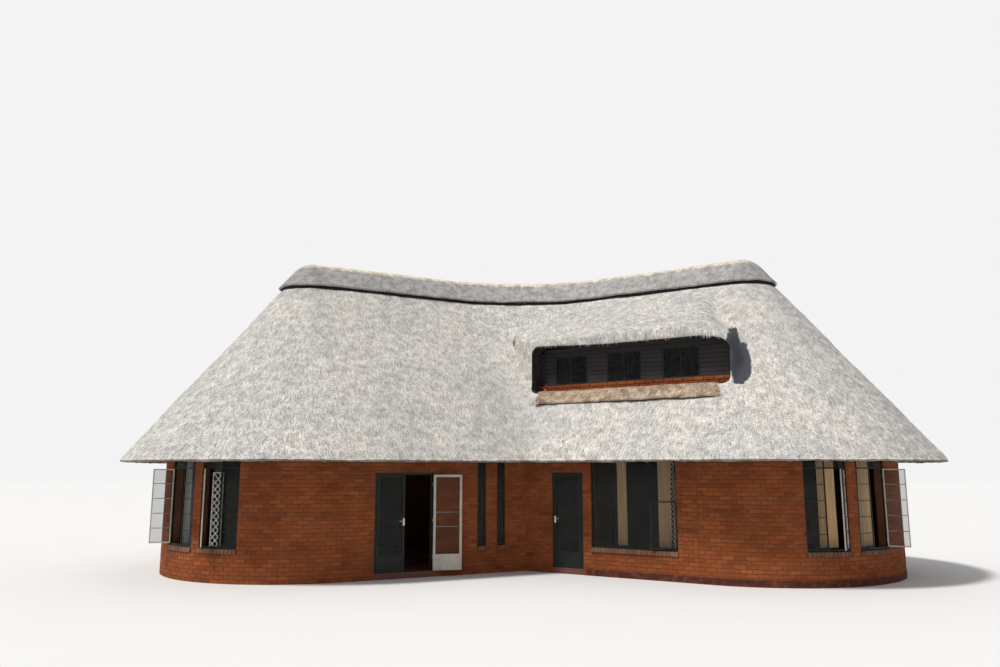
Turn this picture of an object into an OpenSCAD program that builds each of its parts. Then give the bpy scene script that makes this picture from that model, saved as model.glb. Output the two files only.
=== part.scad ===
// Thatched face-brick house with two round-ended wings that meet at an inner corner.
// Millimetres, Z up. The origin is on the ground, in the middle of the roof's outline seen
// from above. The inner corner and the dormer face -Y.
// Each wing is drawn in a frame of its own: x runs along the front wall away from the inner
// corner, y runs into the building from the wall's outer face.

/* [Plan] */
// Angle that each wing turns forward from a straight line, degrees
wing_turn = 30; // [24:1:34]
// Outside radius of the brick wall of each round end
end_radius = 3200; // [3000:50:3500]
// Length of the straight front wall of each wing
front_len = 4400; // [4300:50:5000]
// Thickness of the brick walls
wall_t = 230; // [190:10:280]
// Height of the floor above the ground
floor_top = 130; // [90:10:200]
// Thickness of the loft floor
loft_t = 150; // [120:10:200]

/* [Roof] */
// Distance from the wall's face to the outer tip of the eave
overhang = 1000; // [850:25:1100]
// Height of the outer tip of the eave
eave_z = 2530; // [2450:10:2700]
// Slope of the thatch, degrees
roof_pitch = 51; // [46:1:53]
// Thickness of the thatch, square to its slope
thatch_t = 220; // [180:10:260]
// Height of the cut face of the eave
eave_cut = 110; // [80:5:130]
// Radius of the eave's bend in front of the inner corner
valley_radius = 200; // [150:10:400]
// Radius of the rounded ridge of the thatch
ridge_round = 550; // [450:10:650]
// Thickness of the ridge cap
cap_t = 100; // [70:5:130]
// Length of the straight leg of the ridge cap down each slope
cap_leg = 520; // [400:10:650]
// Radius of the roof poles
pole_r = 50; // [40:1:60]
// Height of the timber plate on the walls
plate_h = 100; // [75:5:120]
// Width of the timber plate on the walls
plate_w = 120; // [90:5:150]
// How far the poles stop short of the eave, measured level
pole_short = 120; // [60:10:200]
// Distance between the poles of a straight slope
pole_step = 820; // [600:10:900]
// Number of poles round each round end
end_poles = 10; // [7:1:12]

/* [Doors] */
// Head of both doorways above the ground
door_head = 2250; // [2200:10:2300]
// Distance of the double doorway from the inner corner
french_at = 2320; // [2250:10:2400]
// Width of the double doorway
french_w = 1380; // [1300:10:1400]
// Distance of the single doorway from the inner corner
door_at = 720; // [600:10:740]
// Width of the single doorway
door_w = 780; // [750:10:800]
// Width of the door frames' steel section
jamb_w = 40; // [35:1:50]
// Depth of the door frames' steel section
jamb_d = 55; // [50:1:80]
// Thickness of the door leaves
leaf_t = 35; // [30:1:40]
// Width of the stiles and rails of the leaves
stile_w = 48; // [40:1:60]
// Height of the steel kick panel of the leaves
kick_h = 340; // [250:10:420]
// Clearance round each door leaf
leaf_gap = 8; // [6:1:12]
// Height of the double door's lower glazing bar above the ground
low_bar_z = 1070; // [900:10:1200]
// Height of the double door's upper glazing bar above the ground
high_bar_z = 1380; // [1260:10:1600]
// How far the open leaf of the double door stands open, degrees
french_open = 165; // [120:5:170]

/* [Windows] */
// Head of the windows above the ground
window_head = 2700; // [2650:10:2750]
// Top of the brick sills of the straight walls
front_sill = 620; // [560:10:680]
// Top of the brick sills of the round walls
round_sill = 700; // [640:10:760]
// Height of the brick sills
sill_h = 110; // [80:5:130]
// How far the brick sills stand out of the wall
sill_out = 40; // [20:5:60]
// Width of the three-light window
wide_w = 2020; // [1900:10:2060]
// Distance of the three-light window from the inner corner
wide_at = 1700; // [1680:10:1750]
// Width of each slot window
slot_w = 220; // [180:10:250]
// Distance of the first slot window from the inner corner
slot_a_at = 540; // [400:10:600]
// Distance of the second slot window from the inner corner
slot_b_at = 1040; // [950:10:1200]
// Width of each window of the round ends
round_w = 960; // [900:10:1000]
// Angle round the left end to the middle of its first window, degrees
left_window_at = 47.5; // [45:0.5:50]
// Angle round the right end to the middle of its first window, degrees
right_window_at = 42.5; // [40:0.5:46]
// Width of the brick pier between the two windows of a round end
pier_w = 237; // [225:1:300]
// How far the first window of each round end stands open, degrees
first_open = 50; // [30:5:90]
// How far the leaf of the three-light window stands open, degrees
wide_open = 14; // [10:1:30]
// How far the second window of each round end stands open, degrees
second_open = 120; // [90:5:140]
// Width of the outer steel section of the windows
rim_w = 35; // [30:1:45]
// Depth of the outer steel section of the windows
rim_d = 32; // [28:1:40]
// Width of the glazing bars
bar_w = 14; // [10:1:20]
// Depth of the mullions and glazing bars
bar_d = 14; // [10:1:18]
// Thickness of the glass
glass_t = 4; // [3:1:6]
// Distance of the straight walls' windows behind the wall's face
window_in = 40; // [20:5:80]
// First upright of the three-light window, from its left edge
split_a = 470; // [420:10:520]
// Second upright of the three-light window, from its left edge
split_b = 1410; // [1360:10:1460]
// Height of the transoms of the last light above the ground
wide_rail_z = 1650; // [1500:10:1800]
// Height of the slot windows' bar above the ground
slot_bar_z = 1410; // [1300:10:1600]
// Height of the fanlights of the round ends' windows
fan_h = 350; // [300:10:420]
// Width of the steel section of the opening leaves
leaf_rim = 24; // [20:1:30]

/* [Dormer] */
// Start of the dormer's opening, along the right wing from the inner corner
dormer_at = 20; // [0:10:100]
// Width of the dormer's opening
dormer_w = 4880; // [4600:20:4940]
// Foot of the dormer's opening
dormer_foot = 4200; // [4180:10:4240]
// Height of the dormer's opening
dormer_h = 1050; // [1000:10:1080]
// Radius of the corners of the dormer's opening
dormer_round = 200; // [120:10:260]
// Distance of the face of the opening behind the wall's face below
dormer_face = 300; // [270:10:340]
// Depth from the face of the opening to the boards
dormer_recess = 420; // [380:10:460]
// Slope of the thatch over the dormer, degrees
hood_pitch = 31; // [28:1:33]
// Slope of that thatch at its right end, degrees
hood_end_pitch = 18; // [14:1:24]
// Height of the thatch over the dormer's opening at its edge
hood_lip = 170; // [140:5:200]
// How far that edge falls towards its right end
hood_fall = 250; // [150:10:300]
// Width of the right end's slanted cheek
cheek_w = 70; // [50:10:100]
// Angle at which the cheek draws in behind the boards, degrees
cheek_turn = 22; // [15:1:28]
// How far the hood sweeps across the valley to the left of the opening
sweep_w = 1100; // [900:20:1200]
// How far the sweep's face draws back
sweep_back = 900; // [700:20:1000]
// Thickness of the boards
board_t = 40; // [30:1:50]
// Width of each dormer window
dormer_win_w = 880; // [820:10:900]
// Height of the dormer windows
dormer_win_h = 700; // [640:10:720]
// Height of the foot of the dormer windows
dormer_sill = 4350; // [4340:10:4380]
// Distance between the dormer windows, middle to middle
dormer_win_step = 1385; // [1300:5:1400]
// Middle of the first dormer window, along the wing
dormer_win_at = 890; // [860:10:940]
// Start of the straw apron under the dormer, up the slope from above the wall's face
apron_up = 60; // [20:10:100]
// Width of the straw apron, up the slope
apron_w = 400; // [300:10:420]
// Thickness of the straw apron
apron_t = 80; // [50:5:110]
// How much shorter than the opening the apron is
apron_off = 40; // [0:10:120]

/* [Fittings] */
// Height of the painted plinth band of the right wing
plinth_h = 140; // [100:10:180]
// How far the plinth band stands out of the wall
plinth_out = 15; // [10:1:25]
// Distance of the plinth band from the single doorway
plinth_off = 60; // [20:10:120]
// Height of the door handles above the ground
handle_z = 1190; // [1050:10:1250]
// Radius of the curtain rails
rail_r = 12; // [10:1:16]
// Distance of the curtain rails behind the wall's inner face
rail_in = 60; // [40:5:90]
// Thickness of the curtains
curtain_t = 8; // [6:1:12]
// Height of the curtains' hems above the sills
curtain_lift = 40; // [10:5:100]
// First curtain of the three-light window, from the window's left edge
thin_curtain_at = 520; // [480:10:560]
// Width of the first curtain of the three-light window
thin_curtain_w = 230; // [150:10:300]
// Second curtain of the three-light window, from the window's left edge
full_curtain_at = 1480; // [1440:10:1520]
// Width of the second curtain of the three-light window
full_curtain_w = 480; // [300:10:520]
// Left end's curtains, from the middle of each window
left_curtain_at = 180; // [100:10:220]
// Width of the left end's curtains
left_curtain_w = 240; // [150:10:280]
// Right end's curtains, from the middle of each window
right_curtain_at = -20; // [-100:10:60]
// Width of the right end's curtains
right_curtain_w = 400; // [250:10:420]
// Height of the curtain rails above the ground
rail_z = 2660; // [2600:10:2700]
// How far the curtain rails reach past each side of the window
rail_past = 45; // [20:5:90]
// Width of the diamond guard
lattice_w = 280; // [240:10:320]
// Height of the diamond guard
lattice_h = 1540; // [1400:20:1560]
// Thickness of the diamond guard's bars
lattice_t = 5; // [3:1:8]

/* [Hidden] */
tan_p = tan(roof_pitch);
cos_p = cos(roof_pitch);
sin_p = sin(roof_pitch);
eave_r = end_radius + overhang;
bend_r = eave_r + valley_radius;
// the middle of the ridge's bend, in a wing's frame
bend_x = (bend_r - end_radius) * tan(wing_turn);
bend_y = end_radius - bend_r;
depth = 2 * end_radius;
// the middle of the round end, seen in the building's frame from the inner corner
end_y = end_radius * cos(wing_turn) - front_len * sin(wing_turn);
roof_front = end_y - eave_r;
roof_back = bend_y / cos(wing_turn) + bend_r + eave_r;
corner_y = -(roof_front + roof_back) / 2;
// thatch section: outer slope, inner slope and rounded top
apex_z = eave_z + eave_r * tan_p;
round_z = apex_z - ridge_round / cos_p;
inner_r = eave_r - (thatch_t - eave_cut * cos_p) / sin_p;
inner_z = eave_z - eave_cut;
// clearance between pieces that rest on each other
seat = 0.3;
// clearance between pieces that lie against each other on curved faces
curve_gap = 0.8;
// roof poles and the plate that carries them
plate_in = 35;
plate_r = end_radius - plate_in;
pole_drop = (2 * pole_r + curve_gap) / cos_p;
plate_top = inner_z + (inner_r - plate_r) * tan_p - pole_drop - seat;
wall_top = plate_top - plate_h - seat;
pole_end_r = inner_r - pole_short;
pole_lap = 5;
hub_r = 560;
// the straight part's poles start after its bend and end before its round end
first_pole = 0.3 * pole_step;
last_pole = 0.16 * pole_step;
bend_poles = 4;
// the rafters are cut away behind the dormer's boards as far as this
knee_y = dormer_face + dormer_recess;
dormer_back = 1560;
cut_past = 40;
back_bend = bend_r + end_radius;
// the wings' bends stop just short of the plane in which the wings meet
seam_trim = atan(seat / back_bend);
// half of a round-end window, and the step to the next, as angles
pier_a0 = asin(round_w / 2 / end_radius);
window_step = 2 * pier_a0 + 2 * asin(pier_w / 2 / end_radius);
slot_at = [slot_a_at, slot_b_at];
leaf_top = door_head - jamb_w - leaf_gap;
leaf_foot = floor_top + leaf_gap;
leaf_h = leaf_top - leaf_foot;
pin_out = 12;
barrel_r = 8;
barrel_h = 40;
french_leaf_w = (french_w - 2 * jamb_w - 3 * leaf_gap) / 2;
door_leaf_w = door_w - 2 * jamb_w - 2 * leaf_gap;
glass_y = bar_d;
round_plane = end_radius * cos(asin(round_w / 2 / end_radius)) - 12;
window_h = window_head - round_sill - seat;
wide_h = window_head - front_sill - seat;
big = 20000;
// how far the cutting blocks of the round walls reach past the wall's faces
reach = 230;
// the back walls' windows repeat the front's three-light window
back_window_at = wide_at - 100;

// Sub-part to show

brick = [0.62, 0.27, 0.16];
straw = [0.60, 0.57, 0.54];
cap_straw = [0.66, 0.62, 0.55];
timber = [0.42, 0.30, 0.20];
dark_timber = [0.20, 0.12, 0.09];
green = [0.10, 0.17, 0.12];
cream = [0.84, 0.80, 0.68];
glass_tint = [0.35, 0.42, 0.42];
plinth_red = [0.40, 0.13, 0.09];
concrete = [0.45, 0.36, 0.30];
silver = [0.75, 0.75, 0.72];

// frames of the wings
module right_wing() translate([0, corner_y, 0]) rotate([0, 0, -wing_turn]) children();
module left_wing() mirror([1, 0, 0]) right_wing() children();
module end_frame() translate([front_len, end_radius, 0]) children();
module bend_frame() translate([bend_x, bend_y, 0]) children();

// roof sections, s measured from the ridge line to the back
ridge_steps = 6;
function ridge_arc(r) = [for (i = [ridge_steps:-1:0]) let (a = roof_pitch * i / ridge_steps)
    [r * sin(a), round_z + r * cos(a)]];
// the end of a leg that runs down the slope from the rounded ridge
function leg_end(r) = [r * sin_p + cap_leg * cos_p, round_z + r * cos_p - cap_leg * sin_p];
function reversed(list) = [for (i = [len(list) - 1:-1:0]) list[i]];
outer_half = concat([[eave_r, eave_z]], ridge_arc(ridge_round));
shell_half = concat([[0, inner_z + inner_r * tan_p], [inner_r, inner_z]], outer_half);
filled_half = concat([[0, inner_z], [inner_r, inner_z]], outer_half);
cap_r = ridge_round + curve_gap;
cap_half = concat(reversed(ridge_arc(cap_r)), [leg_end(cap_r), leg_end(cap_r + cap_t)],
    ridge_arc(cap_r + cap_t));

module whole_section(half) {
    polygon(half);
    mirror([1, 0, 0]) polygon(half);
}

// a roof section carried round the bend, along the wing and round its end
module along_wing(half) {
    bend_frame() rotate([0, 0, 90]) rotate_extrude(angle = wing_turn - seam_trim, $fn = 240)
        translate([bend_r, 0]) whole_section(half);
    translate([bend_x, end_radius, 0]) rotate([90, 0, 90])
        linear_extrude(front_len - bend_x) whole_section(half);
    end_frame() rotate([0, 0, -90]) rotate_extrude(angle = 180, $fn = 240) polygon(half);
}

// walls
module straight_wall(x0, x1, z0, z1) translate([x0, 0, z0]) cube([x1 - x0, wall_t, z1 - z0]);

// the walls of the two wings meet in a mitre at the inner corner
module corner_wall(x1, z0, z1) translate([0, 0, z0]) linear_extrude(z1 - z0)
    polygon([[seat, 0], [x1, 0], [x1, wall_t], [seat - wall_t * tan(wing_turn), wall_t]]);

module ring(r0, r1, z0, z1, a0, a1) rotate([0, 0, a0 - 90])
    rotate_extrude(angle = a1 - a0, $fn = 240) translate([r0, z0]) square([r1 - r0, z1 - z0]);

module round_wall(a0, a1, z0, z1) end_frame()
    ring(end_radius - wall_t, end_radius, z0, z1, a0, a1);

module back_wall(z0, z1) {
    translate([bend_x, depth - wall_t, z0]) cube([front_len - bend_x, wall_t, z1 - z0]);
    bend_frame() ring(back_bend - wall_t, back_bend, z0, z1, 180, 180 + wing_turn - seam_trim);
}

// a hole square to the round wall at an angle round it
module round_hole(a) end_frame() rotate([0, 0, a])
    translate([-round_w / 2, -end_radius - reach, 0])
        cube([round_w, 3 * reach, wall_top]);

module back_hole() translate([back_window_at, depth - wall_t - 10, front_sill - sill_h])
    cube([wide_w, wall_t + 20, window_head]);

module upper_wall() {
    corner_wall(front_len, window_head, wall_top);
    round_wall(0, 180, window_head, wall_top);
    back_wall(window_head, wall_top);
}

module lower_back_wall(last) difference() {
    union() {
        round_wall(0, 180, 0, window_head);
        back_wall(0, window_head);
    }
    back_hole();
    end_frame() rotate([0, 0, last]) translate([-end_radius - reach, -end_radius - reach, -10])
        cube([end_radius + reach + round_w / 2, end_radius - 2 * reach, wall_top + 20]);
}

// the angles at which the pieces of a round end meet
function win_a0(mid) = mid - pier_a0;
function win_a1(mid) = mid + window_step + pier_a0;

module sill_wall(mid) difference() {
    round_wall(win_a0(mid) - 1, win_a1(mid) + 1, 0, round_sill - sill_h);
    side_cuts(mid);
}

// everything outside the two windows and the pier between them
module side_cuts(mid) end_frame() {
    rotate([0, 0, mid]) translate([-round_w / 2 - end_radius / 2, -end_radius - reach, -10])
        cube([end_radius / 2, 3 * reach, wall_top + 20]);
    rotate([0, 0, mid + window_step]) translate([round_w / 2, -end_radius - reach, -10])
        cube([end_radius / 2, 3 * reach, wall_top + 20]);
}

module pier(mid) difference() {
    round_wall(mid + 2, mid + window_step - 2, round_sill - sill_h + seat, window_head);
    round_hole(mid);
    round_hole(mid + window_step);
}

module left_slot_wall() color(brick) left_wing() difference() {
    corner_wall(french_at, 0, window_head);
    for (x = slot_at) translate([x, -10, front_sill - sill_h])
        cube([slot_w, wall_t + 20, window_head]);
}

module left_front_wall() color(brick) left_wing() difference() {
    union() {
        straight_wall(french_at + french_w, front_len, 0, window_head);
        round_wall(0, left_window_at, 0, window_head);
    }
    end_frame() rotate([0, 0, left_window_at])
        translate([-round_w / 2, -end_radius - reach, -10])
            cube([end_radius / 2, 3 * reach, wall_top + 20]);
}

module left_sill_wall() color(brick) left_wing() sill_wall(left_window_at);

module left_back_wall() color(brick) left_wing()
    lower_back_wall(left_window_at + window_step);

module left_upper_wall() color(brick) left_wing() upper_wall();

module right_door_wall() color(brick) right_wing() corner_wall(door_at, 0, window_head);

module right_window_wall() color(brick) right_wing() difference() {
    union() {
        straight_wall(door_at + door_w, front_len, 0, window_head);
        round_wall(0, right_window_at, 0, window_head);
    }
    translate([wide_at, -10, front_sill - sill_h]) cube([wide_w, wall_t + 20, window_head]);
    end_frame() rotate([0, 0, right_window_at])
        translate([-round_w / 2, -end_radius - reach, -10])
            cube([end_radius / 2, 3 * reach, wall_top + 20]);
}

module right_sill_wall() color(brick) right_wing() sill_wall(right_window_at);

module right_back_wall() color(brick) right_wing()
    lower_back_wall(right_window_at + window_step);

module right_upper_wall() color(brick) right_wing() upper_wall();

module door_lintel_walls() color(brick) {
    left_wing() straight_wall(french_at, french_at + french_w, door_head, window_head);
    right_wing() straight_wall(door_at, door_at + door_w, door_head, window_head);
}

module window_piers() color(brick) {
    left_wing() pier(left_window_at);
    right_wing() pier(right_window_at);
}

module right_plinth() color(plinth_red) right_wing() {
    translate([door_at + door_w + plinth_off, -plinth_out, 0])
        cube([front_len - door_at - door_w - plinth_off, plinth_out, plinth_h]);
    end_frame() ring(end_radius + curve_gap, end_radius + plinth_out, 0, plinth_h, 0, 180);
    translate([bend_x, depth, 0]) cube([front_len - bend_x, plinth_out, plinth_h]);
    bend_frame() ring(back_bend + curve_gap, back_bend + plinth_out, 0, plinth_h, 180,
        180 + wing_turn - seam_trim);
}

// the room between the walls of a wing
module room(z0, z1) difference() {
    union() {
        bend_frame() rotate([0, 0, 90]) rotate_extrude(angle = wing_turn - seam_trim, $fn = 240)
            translate([0, z0]) square([back_bend - wall_t, z1 - z0]);
        translate([bend_x, wall_t, z0])
            cube([front_len - bend_x, depth - 2 * wall_t, z1 - z0]);
        end_frame() rotate([0, 0, -90]) rotate_extrude(angle = 180, $fn = 240)
            translate([0, z0]) square([end_radius - wall_t, z1 - z0]);
    }
    translate([-big / 2, wall_t - big, z0 - 1]) cube([big, big, z1 - z0 + 2]);
}

module floor_slab() color(concrete) {
    left_wing() {
        room(0, floor_top);
        translate([french_at, 0, 0]) cube([french_w, wall_t + 1, floor_top]);
    }
    right_wing() {
        room(0, floor_top);
        translate([door_at, 0, 0]) cube([door_w, wall_t + 1, floor_top]);
    }
}

module loft_floor() color(concrete) right_wing() room(wall_top - loft_t, wall_top);

// a round wall's sill is cut from a ring that turns this far to each side, degrees
sill_turn = 15;
// brick sills fill the foot of each window opening and stand out of the wall
module straight_sill(x0, w) translate([x0, -sill_out, front_sill - sill_h + seat])
    cube([w, wall_t + sill_out, sill_h - 2 * seat]);

module round_sill_at(a) intersection() {
    end_frame() ring(end_radius - wall_t, end_radius + sill_out, round_sill - sill_h + seat,
        round_sill - seat, a - sill_turn, a + sill_turn);
    round_hole(a);
}

module back_sill() translate([back_window_at, depth - wall_t, front_sill - sill_h + seat])
    cube([wide_w, wall_t + sill_out, sill_h - 2 * seat]);

module window_sills() color(brick) {
    left_wing() {
        for (x = slot_at) straight_sill(x, slot_w);
        for (k = [0, 1]) round_sill_at(left_window_at + k * window_step);
        back_sill();
    }
    right_wing() {
        straight_sill(wide_at, wide_w);
        for (k = [0, 1]) round_sill_at(right_window_at + k * window_step);
        back_sill();
    }
}

// thatch
module dormer_cut() translate([0, dormer_back + cut_past, 0]) rotate([90, 0, 0])
    linear_extrude(dormer_back + cut_past + dormer_face) dormer_outline();

module dormer_outline() {
    x0 = dormer_at + dormer_round;
    x1 = dormer_at + dormer_w - dormer_round;
    z0 = dormer_foot + dormer_round;
    z1 = dormer_foot + dormer_h - dormer_round;
    translate([dormer_at, z0]) square([dormer_w, z1 - z0]);
    translate([x0, dormer_foot]) square([x1 - x0, dormer_h]);
    for (x = [x0, x1], z = [z0, z1]) translate([x, z]) circle(dormer_round, $fn = 64);
}

module left_thatch() color(straw) left_wing() along_wing(shell_half);

module right_thatch() color(straw) right_wing() difference() {
    along_wing(shell_half);
    dormer_cut();
}

module ridge_cap() color(cap_straw) {
    left_wing() along_wing(cap_half);
    right_wing() along_wing(cap_half);
}

// poles under the thatch: in a frame whose x points down the slope
module pole(r0, r1) {
    z0 = inner_z + (inner_r - r0) * tan_p - (pole_r + curve_gap) / cos_p;
    translate([r0, 0, z0]) rotate([0, 90 + roof_pitch, 0])
        cylinder(r = pole_r, h = (r1 - r0) / cos_p, $fn = 24);
}

module wing_poles() {
    half = pole_r + pole_lap;
    for (x = [bend_x + first_pole : pole_step : front_len - last_pole]) {
        translate([x - half, end_radius, 0]) rotate([0, 0, -90]) pole(pole_lap, pole_end_r);
        translate([x + half, end_radius, 0]) rotate([0, 0, 90]) pole(pole_lap, pole_end_r);
    }
    end_frame() for (i = [0:end_poles - 1]) rotate([0, 0, -90 + (i + 0.5) * 180 / end_poles])
        pole(hub_r, pole_end_r);
    bend_frame() for (i = [0:bend_poles - 1])
        rotate([0, 0, 90 + (i + 0.5) * wing_turn / bend_poles])
            translate([bend_r, 0, 0]) pole(pole_lap, pole_end_r);
    bend_frame() rotate([0, 0, 90 + wing_turn / 2]) translate([bend_r, 0, 0])
        rotate([0, 0, 180]) pole(pole_lap + half, pole_end_r);
}

module left_rafters() color(timber) left_wing() wing_poles();

module right_rafters() color(timber) right_wing() difference() {
    wing_poles();
    translate([dormer_at - 30, knee_y, wall_top])
        cube([dormer_w + 60, dormer_back - knee_y, apex_z - wall_top]);
}

module plate() {
    z0 = wall_top + seat;
    y0 = plate_in;
    translate([0, 0, z0]) linear_extrude(plate_h) polygon([
        [seat - y0 * tan(wing_turn), y0], [front_len, y0], [front_len, y0 + plate_w],
        [seat - (y0 + plate_w) * tan(wing_turn), y0 + plate_w]]);
    end_frame() ring(plate_r - plate_w, plate_r, z0, z0 + plate_h, 0, 180);
    translate([bend_x, depth - y0 - plate_w, z0])
        cube([front_len - bend_x, plate_w, plate_h]);
    bend_frame() ring(bend_r + plate_r - plate_w, bend_r + plate_r, z0, z0 + plate_h,
        180, 180 + wing_turn - seam_trim);
}

module wall_plates() color(timber) {
    left_wing() plate();
    right_wing() plate();
}

// dormer: the thatch is carried over its opening as a hood, drawn as a surface of heights over
// the wing's plan; its face is upright over the opening, sweeps back over the valley on the left
// and ends on the right in a slanted cheek
hood_back_y = dormer_face + 2300;
hood_end_x = dormer_at + dormer_w + 40;
hood_base_z = dormer_foot - 500;
hood_rows = 12;
// over these lengths, up to its right end, the hood's edge falls and its slope eases
fall_len = 1000;
slope_len = 1200;
// the hood starts to draw in behind the boards here, over this length
turn_x = 3700;
turn_len = 1200;
// the stations of the sections along the wing: over the valley, along the opening and at its end
part_n = 8;
open_n = 9;
open_step = 400;
hood_at = concat([for (i = [0:part_n]) -sweep_w * (1 - i / part_n)],
    [for (i = [1:open_n]) i * open_step],
    [for (i = [0:part_n]) turn_x + (hood_end_x - turn_x) * i / part_n], [hood_end_x + cheek_w]);
function ease(t) = let (c = min(1, max(0, t))) c * c * (3 - 2 * c);
function hood_face(x) = dormer_face + sweep_back * pow(max(0, -x) / sweep_w, 1.5);
function hood_edge(x) = dormer_foot + dormer_h + hood_lip
    - hood_fall * ease((x - hood_end_x + fall_len) / fall_len)
    - (dormer_h + hood_lip) * max(0, x - hood_end_x) / cheek_w;
function hood_slope(x) = hood_pitch
    - (hood_pitch - hood_end_pitch) * ease((x - hood_end_x + slope_len) / slope_len);
function hood_z(x, y) = max(hood_base_z + 10,
    hood_edge(x) + (y - dormer_face) * tan(hood_slope(x)));
function hood_y(x, j) = hood_face(x) + (hood_back_y - hood_face(x)) * j / hood_rows;
function hood_point(x, j) = let (y = hood_y(x, j), w = ease((x - turn_x) / turn_len))
    [x - tan(cheek_turn) * max(0, y - knee_y - board_t) * w, y, hood_z(x, y)];

module hood_block() {
    top = [for (x = hood_at) for (j = [0:hood_rows]) hood_point(x, j)];
    base = [for (p = top) [p[0], p[1], hood_base_z]];
    n = len(hood_at);
    m = hood_rows + 1;
    under = n * m;
    polyhedron(points = concat(top, base), faces = concat(
        [for (i = [0:n - 2]) for (j = [0:m - 2]) for (f = [
            [i * m + j, i * m + j + 1, (i + 1) * m + j],
            [(i + 1) * m + j, i * m + j + 1, (i + 1) * m + j + 1]]) f],
        [for (i = [0:n - 2]) for (j = [0:m - 2]) for (f = [
            [under + i * m + j, under + (i + 1) * m + j, under + i * m + j + 1],
            [under + (i + 1) * m + j, under + (i + 1) * m + j + 1, under + i * m + j + 1]]) f],
        [for (j = [0, m - 1]) for (i = [0:n - 2]) let (a = i * m + j, b = (i + 1) * m + j)
            j == 0 ? [a, b, under + b, under + a] : [b, a, under + a, under + b]],
        [for (i = [0, n - 1]) for (j = [0:m - 2]) let (a = i * m + j, b = i * m + j + 1)
            i == 0 ? [b, a, under + a, under + b] : [a, b, under + b, under + a]]));
}

module dormer_hood() color(straw) difference() {
    right_wing() hood_block();
    right_wing() along_wing(filled_half);
    left_wing() along_wing(filled_half);
    right_wing() dormer_cut();
}

module dormer_knee_wall() color(brick) right_wing()
    translate([dormer_at + dormer_round, knee_y, wall_top])
        cube([dormer_w - 2 * dormer_round, wall_t, dormer_sill - wall_top]);

function dormer_win_x(k) = dormer_win_at + k * dormer_win_step - dormer_win_w / 2;

module dormer_boards() color(dark_timber) right_wing() difference() {
    intersection() {
        translate([0, knee_y + board_t, 0]) rotate([90, 0, 0]) linear_extrude(board_t)
            dormer_outline();
        translate([-big / 2, -big / 2, dormer_sill]) cube(big);
    }
    for (k = [0:2]) translate([dormer_win_x(k), 0, dormer_sill - 10])
        cube([dormer_win_w, dormer_back, dormer_win_h + 10]);
}

module dormer_frames() color(green) right_wing()
    for (k = [0:2]) translate([dormer_win_x(k), knee_y, dormer_sill])
        window_frame(dormer_win_w, dormer_win_h, [dormer_win_w / 2], []);

module dormer_glass() color(glass_tint) right_wing()
    for (k = [0:2]) translate([dormer_win_x(k), knee_y, dormer_sill])
        pane(0, dormer_win_w, 0, dormer_win_h, dormer_win_w, dormer_win_h);

module dormer_apron() color(cap_straw) right_wing() difference() {
    translate([dormer_at, 0, 0]) rotate([90, 0, 90]) linear_extrude(dormer_w - apron_off)
        translate([0, eave_z + overhang * tan_p]) rotate(roof_pitch)
            translate([apron_up, -apron_t]) square([apron_w, 2 * apron_t]);
    along_wing(filled_half);
    translate([dormer_at - 1, dormer_face - seat, 0]) cube([dormer_w + 2, apron_w, apex_z]);
}

// a window's steel frame: rim, mullions and glazing bars, outer face at y = 0
module window_frame(w, h, uprights, rows) {
    difference() {
        cube([w, rim_d, h]);
        translate([rim_w, -1, rim_w]) cube([w - 2 * rim_w, rim_d + 2, h - 2 * rim_w]);
    }
    for (x = uprights) translate([x - bar_w, 0, rim_w])
        cube([2 * bar_w, bar_d, h - 2 * rim_w]);
    for (r = rows) translate([r[0], 0, r[2] - bar_w / 2])
        cube([r[1] - r[0], bar_d, bar_w]);
}

// a sheet of glass behind the bars, inside the rim of a window w by h
module pane(x0, x1, z0, z1, w, h) {
    c = 1;
    a0 = max(x0, rim_w + c);
    a1 = min(x1, w - rim_w - c);
    b0 = max(z0, rim_w + c);
    b1 = min(z1, h - rim_w - c);
    translate([a0, glass_y, b0]) cube([a1 - a0, glass_t, b1 - b0]);
}

// round-end windows: two lights under a fanlight, the outer light's leaf stands open
fan_z = window_h - fan_h;
module round_frame() window_frame(round_w, window_h, [round_w / 2],
    concat([[rim_w, round_w - rim_w, fan_z], [rim_w, round_w - rim_w, fan_z - bar_w]],
        [for (k = [1:4]) [rim_w, round_w / 2, k * fan_z / 5]]));

module round_glass() {
    pane(0, round_w / 2, 0, window_h, round_w, window_h);
    pane(round_w / 2 + 1, round_w, fan_z - bar_w, window_h, round_w, window_h);
}

module at_round_window(a) end_frame() rotate([0, 0, a])
    translate([-round_w / 2, -round_plane, round_sill]) children();

module at_back_window() translate([back_window_at + wide_w, depth - window_in, front_sill])
    rotate([0, 0, 180]) children();

// the three-light window: its last light has a leaf below a transom
module wide_frame() window_frame(wide_w, wide_h, [split_a, split_b],
    [[split_b, wide_w - rim_w, wide_rail_up]]);

module slot_frame() window_frame(slot_w, wide_h, [],
    [[rim_w, slot_w - rim_w, slot_bar_z - front_sill]]);

// an open leaf, hinged at its right edge on two pins, which are the origin
module casement(w, h, bars) {
    for (z = [pin_end, h - pin_end - pin_h])
        translate([0, 0, z]) cylinder(r = casement_pin, h = pin_h, $fn = 24);
    translate([-w, 0, 0]) casement_bars(w, h, bars);
}

leaf_d = rim_d - 6;
module casement_bars(w, h, bars) {
    difference() {
        cube([w, leaf_d, h]);
        translate([leaf_rim, -1, leaf_rim])
            cube([w - 2 * leaf_rim, leaf_d + 2, h - 2 * leaf_rim]);
    }
    if (bars > 0) for (k = [1:bars]) translate([leaf_rim, 0, k * h / (bars + 1) - bar_w / 2])
        cube([w - 2 * leaf_rim, bar_d, bar_w]);
}

module casement_glass(w, h) translate([-w + leaf_rim + 1, glass_y, leaf_rim + 1])
    cube([w - 2 * leaf_rim - 2, glass_t, h - 2 * leaf_rim - 2]);

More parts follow.
